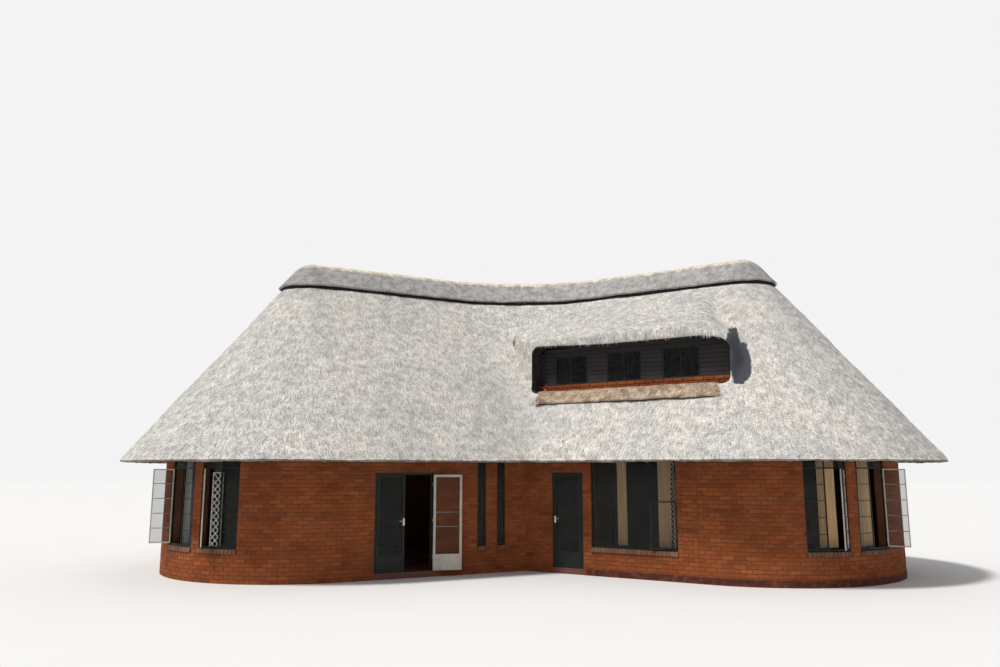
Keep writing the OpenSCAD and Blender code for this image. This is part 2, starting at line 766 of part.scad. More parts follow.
// the leaf fills its light between the rim and the lower transom bar
casement_gap = 2;
casement_w = round_w / 2 - rim_w - bar_w;
casement_h = fan_z - bar_w * 1.5 - rim_w - 2 * casement_gap;
// it turns about pins that stand on the front of the rim
casement_pin = 8;
pin_h = 60;
pin_end = 120;
// the pins stand this far outside the light's edge
pin_past = 6;
module at_casement(a, open) at_round_window(a)
    translate([round_w - rim_w + pin_past, -seat - casement_pin, rim_w + casement_gap])
        rotate([0, 0, open]) children();

// the leaf of the three-light window's last light, below its transom
wide_rail_up = wide_rail_z - front_sill;
wide_leaf_w = wide_w - split_b - bar_w - rim_w - 2 * casement_gap;
wide_leaf_h = wide_rail_up - bar_w / 2 - rim_w - 2 * casement_gap;
module at_wide_casement() translate([wide_at + wide_w - rim_w - casement_gap,
    window_in - seat - casement_pin, front_sill + rim_w + casement_gap])
        rotate([0, 0, wide_open]) children();

module wide_glass() {
    pane(0, split_b, 0, wide_h, wide_w, wide_h);
    pane(split_b + 1, wide_w, wide_rail_up, wide_h, wide_w, wide_h);
}

module left_window_frames() color(green) left_wing() {
    for (x = slot_at) translate([x, window_in, front_sill]) slot_frame();
    for (k = [0, 1]) at_round_window(left_window_at + k * window_step) round_frame();
    at_back_window() wide_frame();
}

module right_window_frames() color(green) right_wing() {
    translate([wide_at, window_in, front_sill]) wide_frame();
    for (k = [0, 1]) at_round_window(right_window_at + k * window_step) round_frame();
    at_back_window() wide_frame();
}

module left_window_glass() color(glass_tint) left_wing() {
    for (x = slot_at) translate([x, window_in, front_sill])
        pane(0, slot_w, 0, wide_h, slot_w, wide_h);
    for (k = [0, 1]) at_round_window(left_window_at + k * window_step) round_glass();
    at_back_window() pane(0, wide_w, 0, wide_h, wide_w, wide_h);
    casement_glass_pair(left_window_at);
}

module right_window_glass() color(glass_tint) right_wing() {
    translate([wide_at, window_in, front_sill]) wide_glass();
    at_wide_casement() casement_glass(wide_leaf_w, wide_leaf_h);
    for (k = [0, 1]) at_round_window(right_window_at + k * window_step) round_glass();
    at_back_window() pane(0, wide_w, 0, wide_h, wide_w, wide_h);
    casement_glass_pair(right_window_at);
}

module casement_pair(mid) {
    at_casement(mid, first_open) casement(casement_w, casement_h, 4);
    at_casement(mid + window_step, second_open) casement(casement_w, casement_h, 4);
}

module casement_glass_pair(mid) {
    at_casement(mid, first_open) casement_glass(casement_w, casement_h);
    at_casement(mid + window_step, second_open) casement_glass(casement_w, casement_h);
}

module left_casements() color(cream) left_wing() casement_pair(left_window_at);
module right_casements() color(cream) right_wing() {
    casement_pair(right_window_at);
    at_wide_casement() casement(wide_leaf_w, wide_leaf_h, 0);
}

// a diamond guard of flat white bars inside the first window of the left end
lattice_in = 30;
lattice_foot = 12;
lattice_bar = 16;
module window_lattice() color(cream) left_wing() at_round_window(left_window_at)
    translate([round_w / 2 - lattice_in, rim_d, lattice_foot]) {
        bar = lattice_bar;
        pitch = lattice_w / 2;
        rotate([90, 0, 0]) mirror([0, 0, 1]) linear_extrude(lattice_t) intersection() {
            square([lattice_w, lattice_h]);
            union() {
                for (k = [-2:lattice_h / pitch]) translate([0, k * pitch])
                    for (a = [45, -45]) rotate(a) translate([-bar, -bar / 2])
                        square([2 * lattice_w, bar]);
                difference() {
                    square([lattice_w, lattice_h]);
                    translate([bar, bar]) square([lattice_w - 2 * bar, lattice_h - 2 * bar]);
                }
            }
        }
    }

// curtains on rails inside the windows, each rail on two brackets that reach the wall
bracket = 20;
bracket_in = 5;
module rail_bar(w) {
    translate([-rail_past, 0, rail_z]) rotate([0, 90, 0])
        cylinder(r = rail_r, h = w + 2 * rail_past, $fn = 24);
    for (x = [bracket_in - rail_past, w + rail_past - bracket_in - bracket])
        translate([x, -rail_in - 2 * bracket, rail_z - bracket / 2])
            cube([bracket, rail_in + 2 * bracket, bracket]);
}

// a straight rail on a round wall stands farther in, and its wall reaches this far to each side
round_rail_in = 20;
rail_turn = 20;
round_rail_y = -end_radius + wall_t + rail_in + round_rail_in;
module wide_rail_bar() difference() {
    translate([wide_at, wall_t + rail_in, 0]) rail_bar(wide_w);
    straight_wall(0, front_len, 0, wall_top);
}

module round_rail_bar(a) difference() {
    end_frame() rotate([0, 0, a])
        translate([-round_w / 2, round_rail_y, 0]) rail_bar(round_w);
    round_wall(a - rail_turn, a + rail_turn, 0, wall_top);
}

module curtain_rails() color(silver) {
    left_wing() for (k = [0, 1]) round_rail_bar(left_window_at + k * window_step);
    right_wing() {
        wide_rail_bar();
        for (k = [0, 1]) round_rail_bar(right_window_at + k * window_step);
    }
}

// a flat curtain that hangs just below its rail
module curtain(w, foot) translate([0, -curtain_t / 2, foot])
    cube([w, curtain_t, rail_z - rail_r - seat - foot]);

module round_curtain(a, x0, w) end_frame() rotate([0, 0, a])
    translate([x0, round_rail_y, 0]) curtain(w, round_sill + curtain_lift);

module wide_curtain(x0, w) translate([wide_at + x0, wall_t + rail_in, 0])
    curtain(w, front_sill + curtain_lift);

module curtains() color(cream) {
    left_wing() for (k = [0, 1])
        round_curtain(left_window_at + k * window_step, left_curtain_at, left_curtain_w);
    right_wing() {
        wide_curtain(thin_curtain_at, thin_curtain_w);
        wide_curtain(full_curtain_at, full_curtain_w);
        for (k = [0, 1])
            round_curtain(right_window_at + k * window_step, right_curtain_at, right_curtain_w);
    }
}

// door frames: jambs and head with a stop behind the leaf, hinge knuckles on the jambs
knuckle_z = [230, 1010, 1790];
flap_w = 28;
flap_t = 10;
barrel_gap = 0.5;
module knuckle(flap_x, w) {
    translate([0, -pin_out, 0]) cylinder(r = barrel_r, h = barrel_h, $fn = 24);
    translate([flap_x, -flap_t, 0]) cube([w, flap_t, barrel_h]);
}

module knuckle_fixed(side) for (z = knuckle_z) translate([0, 0, leaf_foot + z])
    knuckle(side > 0 ? -flap_w : 0, flap_w);

// the leaf's knuckles sit on the frame's, with a small gap
module knuckle_moving(side) for (z = knuckle_z)
    translate([0, 0, leaf_foot + z + barrel_h + barrel_gap])
        knuckle(side > 0 ? 0 : -flap_w - leaf_gap, flap_w + leaf_gap);

module frame_of(w) {
    h = door_head - floor_top - seat;
    stop_w = 14;
    difference() {
        translate([0, 0, floor_top]) cube([w, jamb_d, h]);
        translate([jamb_w, -1, floor_top - 1])
            cube([w - 2 * jamb_w, leaf_t + leaf_gap + 1, h + 1 - jamb_w]);
        translate([jamb_w + stop_w, -1, floor_top - 1])
            cube([w - 2 * jamb_w - 2 * stop_w, jamb_d + 2, h + 1 - jamb_w - stop_w]);
    }
}

// a door leaf with its hinge edge at x = 0, outer face at y = 0; a bead holds its glass
kick_in = 8;
bead = 10;
module leaf(w, bars) {
    translate([0, 0, leaf_foot]) {
        difference() {
            cube([w, leaf_t, leaf_h]);
            translate([stile_w, -1, kick_h])
                cube([w - 2 * stile_w, leaf_t + 2, leaf_h - kick_h - stile_w]);
            for (y = [-1, leaf_t - kick_in]) translate([stile_w, y, stile_w])
                cube([w - 2 * stile_w, kick_in + 1, kick_h - 2 * stile_w]);
        }
        for (z = bars) translate([stile_w, 0, z - bar_w / 2 - leaf_foot])
            cube([w - 2 * stile_w, bar_d, bar_w]);
        difference() {
            translate([stile_w - 1, 0, kick_h - 1])
                cube([w - 2 * stile_w + 2, bar_d, leaf_h - kick_h - stile_w + 2]);
            translate([stile_w + bead, -1, kick_h + bead])
                cube([w - 2 * stile_w - 2 * bead, bar_d + 2,
                    leaf_h - kick_h - stile_w - 2 * bead]);
        }
    }
}

module leaf_glass(w) translate([stile_w + 1, bar_d, leaf_foot + kick_h + 1])
    cube([w - 2 * stile_w - 2, glass_t, leaf_h - kick_h - stile_w - 2]);

// a lever handle on its lock plate
lock_plate = [40, 6, 150];
lever_r = 8;
lever_len = 110;
lever_out = 42;
// the lever sits above the middle of its plate
lever_up = 20;
module lever(side) {
    translate([-lock_plate[0] / 2, -lock_plate[1], -lock_plate[2] / 2]) cube(lock_plate);
    translate([0, -lock_plate[1], lever_up]) rotate([90, 0, 0])
        cylinder(r = lever_r, h = lever_out - lock_plate[1] + 4, $fn = 24);
    translate([0, -lever_out, lever_up]) rotate([0, side * 90, 0])
        cylinder(r = lever_r, h = lever_len, $fn = 24);
}

module french_frame() color(green) left_wing() {
    translate([french_at, 0, 0]) frame_of(french_w);
    translate([french_at + jamb_w, 0, 0]) knuckle_fixed(1);
    translate([french_at + french_w - jamb_w, 0, 0]) knuckle_fixed(-1);
}

// the closed leaf hangs on the jamb farther from the inner corner
module at_french_left() left_wing() translate([french_at + french_w - jamb_w, 0, 0]) children();

module french_left_leaf() color(green) at_french_left() {
    translate([-leaf_gap - french_leaf_w, 0, 0]) leaf(french_leaf_w, [low_bar_z, high_bar_z]);
    knuckle_moving(-1);
}

module french_left_glass() color(glass_tint) at_french_left()
    translate([-leaf_gap - french_leaf_w, 0, 0]) leaf_glass(french_leaf_w);

module french_left_handle() color(silver) at_french_left()
    translate([-leaf_gap - french_leaf_w + stile_w / 2, 0, handle_z]) lever(1);

// the other leaf is folded back against the wall
module at_french_right() left_wing() translate([french_at + jamb_w, -pin_out, 0])
    rotate([0, 0, -french_open]) translate([0, pin_out, 0]) children();

module french_right_leaf() color(green) at_french_right() {
    translate([leaf_gap, 0, 0]) leaf(french_leaf_w, [low_bar_z, high_bar_z]);
    knuckle_moving(1);
}

module french_right_glass() color(glass_tint) at_french_right()
    translate([leaf_gap, 0, 0]) leaf_glass(french_leaf_w);

module door_frame() color(green) right_wing() {
    translate([door_at, 0, 0]) frame_of(door_w);
    translate([door_at + door_w - jamb_w, 0, 0]) knuckle_fixed(-1);
}

module at_door() right_wing() translate([door_at + door_w - jamb_w, 0, 0]) children();

module door_leaf() color(green) at_door() {
    translate([-leaf_gap - door_leaf_w, 0, 0]) leaf(door_leaf_w, []);
    knuckle_moving(-1);
}

module door_glass() color(glass_tint) at_door()
    translate([-leaf_gap - door_leaf_w, 0, 0]) leaf_glass(door_leaf_w);

module door_handle() color(silver) at_door()
    translate([-leaf_gap - door_leaf_w + stile_w / 2, 0, handle_z]) lever(1);

left_thatch();
right_thatch();
ridge_cap();
left_slot_wall();
left_front_wall();
left_sill_wall();
left_back_wall();
left_upper_wall();
right_door_wall();
right_window_wall();
right_sill_wall();
right_back_wall();
right_upper_wall();
door_lintel_walls();
window_piers();
right_plinth();
floor_slab();
loft_floor();
window_sills();
left_rafters();
right_rafters();
wall_plates();
dormer_hood();
dormer_knee_wall();
dormer_boards();
dormer_frames();
dormer_glass();
dormer_apron();
french_frame();
french_left_leaf();
french_left_glass();
french_left_handle();
french_right_leaf();
french_right_glass();
door_frame();
door_leaf();
door_glass();
door_handle();
left_window_frames();
right_window_frames();
left_window_glass();
right_window_glass();
left_casements();
right_casements();
window_lattice();
curtain_rails();
curtains();
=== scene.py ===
"""Looks of the thatched brick house with two round-ended wings.

Metres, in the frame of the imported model: Z up, the inner corner and the dormer face -Y. Each wing
is worked out in a frame of its own, in which x runs along the front wall away from the inner corner
and y runs into the building from the wall's outer face. side is 1 for the right wing and -1 for the
left wing, which is its mirror image.
"""

import math

import bpy
import numpy as np
from mathutils import Euler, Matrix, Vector, noise


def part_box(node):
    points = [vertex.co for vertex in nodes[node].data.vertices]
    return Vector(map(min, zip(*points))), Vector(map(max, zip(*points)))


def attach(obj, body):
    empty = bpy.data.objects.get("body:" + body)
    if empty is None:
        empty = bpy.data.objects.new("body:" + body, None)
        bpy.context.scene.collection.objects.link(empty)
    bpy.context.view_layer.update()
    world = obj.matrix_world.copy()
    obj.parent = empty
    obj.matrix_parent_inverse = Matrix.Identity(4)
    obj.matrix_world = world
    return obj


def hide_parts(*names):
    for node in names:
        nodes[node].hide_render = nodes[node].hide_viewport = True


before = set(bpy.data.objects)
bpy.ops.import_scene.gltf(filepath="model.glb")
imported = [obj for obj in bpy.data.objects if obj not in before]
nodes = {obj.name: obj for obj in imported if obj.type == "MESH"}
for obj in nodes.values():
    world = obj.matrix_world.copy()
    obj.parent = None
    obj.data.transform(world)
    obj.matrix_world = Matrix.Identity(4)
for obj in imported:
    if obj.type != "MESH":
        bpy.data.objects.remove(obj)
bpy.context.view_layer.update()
rng = np.random.default_rng(7)

# The sizes that the model was made with
WING_TURN = math.radians(30)
END_R = 3.2
FRONT = 4.4
WALL_T = 0.23
OVERHANG = 1.0
EAVE_Z = 2.53
PITCH = math.radians(51)
THATCH_T = 0.22
EAVE_CUT = 0.11
VALLEY_R = 0.2
RIDGE_ROUND = 0.55
CAP_T = 0.1
CAP_LEG = 0.52

TAN_P, COS_P, SIN_P = math.tan(PITCH), math.cos(PITCH), math.sin(PITCH)
TURN_COS, TURN_SIN, TURN_TAN = math.cos(WING_TURN), math.sin(WING_TURN), math.tan(WING_TURN)
EAVE_R = END_R + OVERHANG
BEND_R = EAVE_R + VALLEY_R
BEND_X = (BEND_R - END_R) * TURN_TAN
BEND_Y = END_R - BEND_R
BACK_BEND = BEND_R + END_R
END_Y = END_R * TURN_COS - FRONT * TURN_SIN
ROOF_BACK = BEND_Y / TURN_COS + BEND_R + EAVE_R
CORNER_Y = -(END_Y - EAVE_R + ROOF_BACK) / 2
ROUND_Z = EAVE_Z + EAVE_R * TAN_P - RIDGE_ROUND / COS_P
INNER_R = EAVE_R - (THATCH_T - EAVE_CUT * COS_P) / SIN_P
INNER_Z = EAVE_Z - EAVE_CUT
WALL_TOP = float(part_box("left_upper_wall")[1][2])
RIGHT, LEFT = 1, -1
SIDES = {LEFT: "left", RIGHT: "right"}


def to_row(side, points):
    """Points of a wing's frame in the frame of the whole building."""
    p = np.asarray(points, float)
    x = p[:, 0] * TURN_COS + p[:, 1] * TURN_SIN
    y = -p[:, 0] * TURN_SIN + p[:, 1] * TURN_COS + CORNER_Y
    return np.stack([side * x, y, p[:, 2]], 1)


def into_right(side, points):
    """Points or directions of a wing's frame in the right wing's frame."""
    row = to_row(side, points.reshape(-1, 3)).reshape(points.shape)
    x, y, z = np.moveaxis(row - [0, CORNER_Y, 0], -1, 0)
    return np.stack([x * TURN_COS - y * TURN_SIN, x * TURN_SIN + y * TURN_COS, z], -1)


def smooth_noise(points, scale, seed=0.0):
    """Noise from -1 to 1 at each point, with features of about 1 / scale metres."""
    p = np.asarray(points, float) * scale + seed
    return np.array([noise.noise(Vector(q)) for q in p])


def ease(t):
    """From 0 to 1 with a soft start and end."""
    c = np.clip(t, 0, 1)
    return c * c * (3 - 2 * c)


def unit(vectors):
    return vectors / np.linalg.norm(vectors, axis=1, keepdims=True)


def way_along(points):
    """How far it is from the first point to each, along the first direction of a row or grid."""
    steps = np.linalg.norm(np.diff(points, axis=0), axis=-1)
    return np.concatenate([0 * steps[:1], np.cumsum(steps, axis=0)])


def grid_faces(stations_n, rows_n):
    """The quads of a grid whose points are numbered along its rows first."""
    a = (np.arange(stations_n - 1)[:, None] * rows_n + np.arange(rows_n - 1)[None]).ravel()
    return np.stack([a, a + 1, a + rows_n + 1, a + rows_n], 1)


def link(name, data):
    piece = bpy.data.objects.new(name, data)
    bpy.context.collection.objects.link(piece)
    return piece


def make_mesh(name, side, points, faces, smooth=False, uv=None, **tones):
    """A piece from points of a wing's frame, with numbers per point as attributes."""
    faces = np.asarray(faces)
    if side == LEFT:
        faces = faces[:, ::-1]
    mesh = bpy.data.meshes.new(name)
    mesh.from_pydata(to_row(side, points).tolist(), [], faces.tolist())
    if smooth:
        mesh.shade_smooth()
    if uv is not None:
        layer = mesh.uv_layers.new(name="UVMap")
        layer.data.foreach_set("uv", np.asarray(uv, np.float32)[faces.ravel()].ravel())
    for key, values in tones.items():
        attribute = mesh.attributes.new(key, "FLOAT", "POINT")
        attribute.data.foreach_set("value", np.asarray(values, np.float32))
    return link(name, mesh)


def grid_mesh(name, side, grid, u, v):
    """A smooth piece from a grid of points, with a grid of each UV coordinate."""
    uv = np.stack(np.broadcast_arrays(u, v), 2).reshape(-1, 2)
    faces = grid_faces(*grid.shape[:2])
    return make_mesh(name, side, grid.reshape(-1, 3), faces, smooth=True, uv=uv)


def set_finishes(piece, numbers):
    """Which of a piece's finishes each face has."""
    piece.data.polygons.foreach_set("material_index", numbers.astype(np.int32))


def dress(piece, finishes, slot, *replaced, body="house"):
    """A piece's finishes, the body that it rides on and the CAD nodes that it replaces. slot is not
    used.
    """
    for finish in finishes:
        piece.data.materials.append(finish)
    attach(piece, body)
    for node in replaced:
        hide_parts(node)


def coat(endings, finish):
    """The finish of the CAD nodes with these endings, in place of the plain one they came with."""
    for name, piece in nodes.items():
        if name.endswith(endings):
            slots = piece.data.materials
            if len(slots):
                slots[0] = finish
            else:
                slots.append(finish)


# Camera, stage and light

PHOTO_FOCAL = 815.63  # in pixels of a picture 1000 wide
PHOTO_WIDTH = 1000
CAMERA_AT = Vector((0.300, -21.379, 2.289))
CAMERA_PITCH = 9.547
CAMERA_YAW = 2.64

FLOOR_HALF, FLOOR_DROP = 160.0, 0.002
FLOOR_COLOUR = (0.80, 0.79, 0.78)
BACKDROP = (0.90, 0.90, 0.90)
SKY_LIGHT, SKY_LEVEL = (0.96, 0.98, 1.0), 0.50
SUN_TURN = math.radians(-52)  # from straight in front of the house, towards its left
SUN_HEIGHT = math.radians(58)
SUN_POWER = 2.7
SUN_WIDTH = math.radians(8)
SUN_COLOUR = (1.0, 0.985, 0.96)


def add_camera():
    """The camera at the place, and with the width of view, that the photo was taken with."""
    data = bpy.data.cameras.new("photo_camera")
    data.sensor_width = 36.0
    data.lens = data.sensor_width * PHOTO_FOCAL / PHOTO_WIDTH
    camera = link("photo_camera", data)
    camera.location = CAMERA_AT
    camera.rotation_euler = Euler((math.radians(90 + CAMERA_PITCH), 0, math.radians(CAMERA_YAW)))
    bpy.context.scene.camera = camera


def add_floor():
    """A wide pale floor, which keeps the house's shadow."""
    corners = ((-1, -1), (1, -1), (1, 1), (-1, 1))
    mesh = bpy.data.meshes.new("floor")
    mesh.from_pydata([(FLOOR_HALF * x, FLOOR_HALF * y, -FLOOR_DROP) for x, y in corners], [],
                     [(0, 1, 2, 3)])
    floor = link("floor", mesh)
    finish = Finish("floor_finish", Roughness=0.95)
    floor.data.materials.append(finish.done(finish.ramp(
        finish.spots(0.6, 2.0), (0.3, tuple(0.99 * c for c in FLOOR_COLOUR)), (0.7, FLOOR_COLOUR))))


def add_world():
    """An even pale sky: its own colour to the eye and through glass, and dimmer as light."""
    world = bpy.data.worlds.new("studio")
    world.use_nodes = True
    tree = world.node_tree
    tree.nodes.clear()
    new, join = tree.nodes.new, tree.links.new
    path, either, mix = new("ShaderNodeLightPath"), new("ShaderNodeMath"), new("ShaderNodeMixShader")
    either.operation = "MAXIMUM"
    join(path.outputs["Is Camera Ray"], either.inputs[0])
    join(path.outputs["Is Transmission Ray"], either.inputs[1])
    join(either.outputs[0], mix.inputs[0])
    for index, colour, level in ((1, SKY_LIGHT, SKY_LEVEL), (2, BACKDROP, 1.0)):
        sky = new("ShaderNodeBackground")
        sky.inputs["Color"].default_value = (*colour, 1)
        sky.inputs["Strength"].default_value = level
        join(sky.outputs[0], mix.inputs[index])
    join(mix.outputs[0], new("ShaderNodeOutputWorld").inputs["Surface"])
    bpy.context.scene.world = world


def add_key_light():
    """One soft light from high on the left, in front."""
    data = bpy.data.lights.new("key", "SUN")
    data.energy = SUN_POWER
    data.angle = SUN_WIDTH
    data.color = SUN_COLOUR
    level = math.cos(SUN_HEIGHT)
    toward = Vector((math.sin(SUN_TURN) * level, -math.cos(SUN_TURN) * level, math.sin(SUN_HEIGHT)))
    link("key", data).rotation_euler = toward.to_track_quat("Z", "Y").to_euler()


class Finish:
    """A material being put together. An input may be a number, a colour or another node's output."""

    def __init__(self, name, **surface):
        self.material = bpy.data.materials.new(name)
        self.material.use_nodes = True
        self.tree = self.material.node_tree
        self.surface = self.tree.nodes["Principled BSDF"]
        self.coords = self.tree.nodes.new("ShaderNodeTexCoord")
        for key, value in surface.items():
            self.put(self.surface.inputs[key.replace("_", " ")], value)

    def put(self, socket, value):
        if isinstance(value, bpy.types.NodeSocket):
            self.tree.links.new(value, socket)
        elif socket.type == "RGBA" and len(value) == 3:
            socket.default_value = (*value, 1.0)
        else:
            socket.default_value = value

    def node(self, kind, inputs, **settings):
        new = self.tree.nodes.new("ShaderNode" + kind)
        for key, value in settings.items():
            setattr(new, key, value)
        for key, value in inputs.items():
            self.put(new.inputs[key], value)
        return new

    def place(self, space="Object"):
        """The x, y and z of each point, or its UV."""
        return self.node("SeparateXYZ", {"Vector": self.coords.outputs[space]}).outputs

    def spots(self, scale, detail=3.0, stretch=(1, 1, 1), uv=False, rough=0.55):
        """Cloudy noise, from 0 to 1, with features of about 1 / scale metres."""
        source = self.coords.outputs["UV" if uv else "Object"]
        place = self.node("Mapping", {"Vector": source, "Scale": stretch})
        inputs = {"Vector": place.outputs[0], "Scale": scale, "Detail": detail, "Roughness": rough}
        return self.node("TexNoise", inputs).outputs["Fac"]

    def ramp(self, value, *stops):
        """A colour or grey for each value: stops are (position, colour)."""
        new = self.node("ValToRGB", {"Fac": value})
        bands = new.color_ramp
        while len(bands.elements) < len(stops):
            bands.elements.new(0.5)
        for element, (position, colour) in zip(bands.elements, stops):
            element.position = position
            element.color = (*colour, 1) if hasattr(colour, "__len__") else (colour,) * 3 + (1,)
        return new.outputs["Color"]

    def mix(self, factor, a, b, way="MIX"):
        new = self.node("Mix", {}, data_type="RGBA", blend_type=way)
        for index, value in ((0, factor), (6, a), (7, b)):
            self.put(new.inputs[index], value)
        return new.outputs[2]

    def shade(self, colour, value, *stops):
        """A colour times what the ramp gives for a value."""
        return self.mix(1.0, colour, self.ramp(value, *stops), "MULTIPLY")

    def math(self, way, *values):
        new = self.node("Math", {}, operation=way)
        for index, value in enumerate(values):
            self.put(new.inputs[index], value)
        return new.outputs[0]

    def bump(self, height, depth, strength=1.0, under=None):
        inputs = {"Height": height, "Distance": depth, "Strength": strength}
        if under is not None:
            inputs["Normal"] = under
        return self.node("Bump", inputs).outputs["Normal"]

    def attribute(self, name):
        return self.node("Attribute", {}, attribute_name=name).outputs["Fac"]

    def done(self, colour, normal=None, roughness=None):
        for key, value in (("Base Color", colour), ("Normal", normal), ("Roughness", roughness)):
            if value is not None:
                self.put(self.surface.inputs[key], value)
        return self.material


# Thatch: rows run down the slope from the ridge line, and stations run round the wing

ROUND_LEN = RIDGE_ROUND * PITCH
ROOF_LEN = ROUND_LEN + (EAVE_R - RIDGE_ROUND * SIN_P) / COS_P
CAP_END = ROUND_LEN + CAP_LEG
MIDDLE = 2.4  # the distance from the ridge line at which stations are measured round the wing
BEFORE_RIDGE = 2.2  # what lies nearer the front than this is on the front slope
COAT_STEPS, CAP_STEPS = (0.048, 0.062, 0.09), (0.06, 0.20, 0.09)  # between stations, as below
ROW_STEP = 0.048


def ring(angles):
    """Level directions at angles from X."""
    return np.stack([np.cos(angles), np.sin(angles)], 1)


def stations(front, round_step, back):
    """Points on the ridge line, level directions down the slope, and the way round the wing.

    The steps between them are given for the front, the round end's eave and the back.
    """
    bend = np.array([BEND_X, BEND_Y])
    turn = np.pi / 2 + WING_TURN
    near = ring(np.linspace(turn, np.pi / 2, int(BEND_R * WING_TURN / front))[:-1])
    x = np.linspace(BEND_X, FRONT, int((FRONT - BEND_X) / front))[:-1]
    end = ring(np.linspace(-np.pi / 2, np.pi / 2, int(np.pi * EAVE_R / round_step))[:-1])
    far_x = np.linspace(FRONT, BEND_X, int((FRONT - BEND_X) / back))[:-1]
    far = ring(np.linspace(np.pi / 2, turn, int((BEND_R + EAVE_R) * WING_TURN / back)))
    origin = np.concatenate([
        bend + BEND_R * near, np.stack([x, 0 * x + END_R], 1), 0 * end + [FRONT, END_R],
        np.stack([far_x, 0 * far_x + END_R], 1), bend + BEND_R * far])
    toward = np.concatenate([-near, np.stack([0 * x, 0 * x - 1], 1), end,
                             np.stack([0 * far_x, 0 * far_x + 1], 1), far])
    return origin, toward, way_along(origin + MIDDLE * toward)


def roof_section(s):
    """Distance from the ridge line, height and outward direction at s down the outer slope."""
    a = np.minimum(s / RIDGE_ROUND, PITCH)
    t = np.maximum(0, s - ROUND_LEN)
    return (RIDGE_ROUND * np.sin(a) + t * COS_P, ROUND_Z + RIDGE_ROUND * np.cos(a) - t * SIN_P,
            np.sin(a), np.cos(a))


def sweep(origin, toward, d, z, out_d, out_z):
    """Grids of points and outward directions: a section, or one for each station, carried along."""
    points = np.empty((len(origin), d.shape[-1], 3))
    points[..., :2] = origin[:, None] + toward[:, None] * d[..., None]
    points[..., 2] = z
    out = np.empty(points.shape)
    out[..., :2] = toward[:, None] * out_d[..., None]
    out[..., 2] = out_z
    return points, out


def lumps(side, points, rough=1.0):
    """Unevenness of the straw in metres, the same for both wings where they meet."""
    p = to_row(side, points.reshape(-1, 3))
    height = (0.020 * smooth_noise(p, 0.65) + 0.012 * smooth_noise(p, 2.1, 7)
              + 0.008 * rough * smooth_noise(p, 6.5, 13))
    return height.reshape(points.shape[:-1])


# The hood over the dormer, as a surface of heights over the right wing's plan

DORMER_AT, DORMER_W = 0.02, 4.88
DORMER_END = DORMER_AT + DORMER_W
DORMER_FOOT, DORMER_H, DORMER_ROUND = 4.20, 1.05, 0.20
DORMER_HEAD = DORMER_FOOT + DORMER_H
DORMER_FACE, DORMER_WALL_Y, BOARD_T = 0.30, 0.72, 0.04
DORMER_SILL, DORMER_WIN_W, DORMER_WIN_H = 4.35, 0.88, 0.70
DORMER_WIN_AT, DORMER_WIN_STEP = 0.89, 1.385
HOOD_PITCH, HOOD_END_PITCH = math.radians(31), math.radians(18)
HOOD_LIP, HOOD_FALL, CHEEK_W, CHEEK_TURN = 0.17, 0.25, 0.07, math.radians(22)
SWEEP_W, SWEEP_BACK = 1.10, 0.90
HOOD_END = DORMER_END + 0.04
TURN_X, TURN_LEN, FALL_LEN, SLOPE_LEN = 3.7, 1.2, 1.0, 1.2
HOOD_X, HOOD_BACK_Y, HOOD_LOW_Z = (-2.5, 5.6), 3.1, 3.6  # the part of the roof that it can lie on
HOOD_REACH, LIFT_STEP = 1.6, 0.02  # how far it can stand out, and the steps of the search for it
BROW_LEFT, BROW_RIGHT, BROW_FALL = 5.28, 5.20, 2.2  # the opening's upper edge, and where it levels
BROW_END, BROW_DROP = 0.75, 0.16  # its right end curves down over this length, by this much
SOFFIT_FOOT = 4.12  # the straw is trimmed down to here in front of the boards
CHEEK_FROM, CHEEK_SHADE_W = 4.70, 1.2  # the hood's shaded right end starts here


def in_hood(p):
    """Whether points of the right wing's frame lie in the hood."""
    x, y, z = p[..., 0], p[..., 1], p[..., 2]
    drawn = math.tan(CHEEK_TURN) * np.maximum(0, y - DORMER_WALL_Y - BOARD_T)
    q = x  # becomes the x of the point before the right end was drawn aside
    for _ in range(6):
        q = x + drawn * ease((q - TURN_X) / TURN_LEN)
    face = DORMER_FACE + SWEEP_BACK * (np.maximum(0, -q) / SWEEP_W) ** 1.5
    edge = (DORMER_FOOT + DORMER_H + HOOD_LIP - HOOD_FALL * ease((q - HOOD_END + FALL_LEN) / FALL_LEN)
            - (DORMER_H + HOOD_LIP) * np.maximum(0, q - HOOD_END) / CHEEK_W)
    slope = HOOD_PITCH - (HOOD_PITCH - HOOD_END_PITCH) * ease((q - HOOD_END + SLOPE_LEN) / SLOPE_LEN)
    return ((q > -SWEEP_W) & (q < HOOD_END + CHEEK_W) & (y > face)
            & (z < edge + (y - DORMER_FACE) * np.tan(slope)))


def hood_lift(points, out):
    """How far the hood stands out of the roof at points of the right wing's frame."""
    p, n = points.reshape(-1, 3), out.reshape(-1, 3)
    near = np.flatnonzero((p[:, 0] > HOOD_X[0]) & (p[:, 0] < HOOD_X[1]) & (p[:, 1] < HOOD_BACK_Y)
                          & (p[:, 2] > HOOD_LOW_Z))
    q, m = p[near], n[near]
    alive = np.ones(len(near), bool)
    low = np.zeros(len(near))
    for t in np.arange(LIFT_STEP / 2, HOOD_REACH, LIFT_STEP):
        alive &= in_hood(q + m * t)
        low[alive] = t
    high = low + LIFT_STEP
    for _ in range(5):
        mid = (low + high) / 2
        inside = in_hood(q + m * mid[:, None])
        low, high = np.where(inside, mid, low), np.where(inside, high, mid)
    lift = np.zeros(len(p))
    lift[near] = np.where(low > LIFT_STEP, low, 0)
    return lift.reshape(points.shape[:-1])


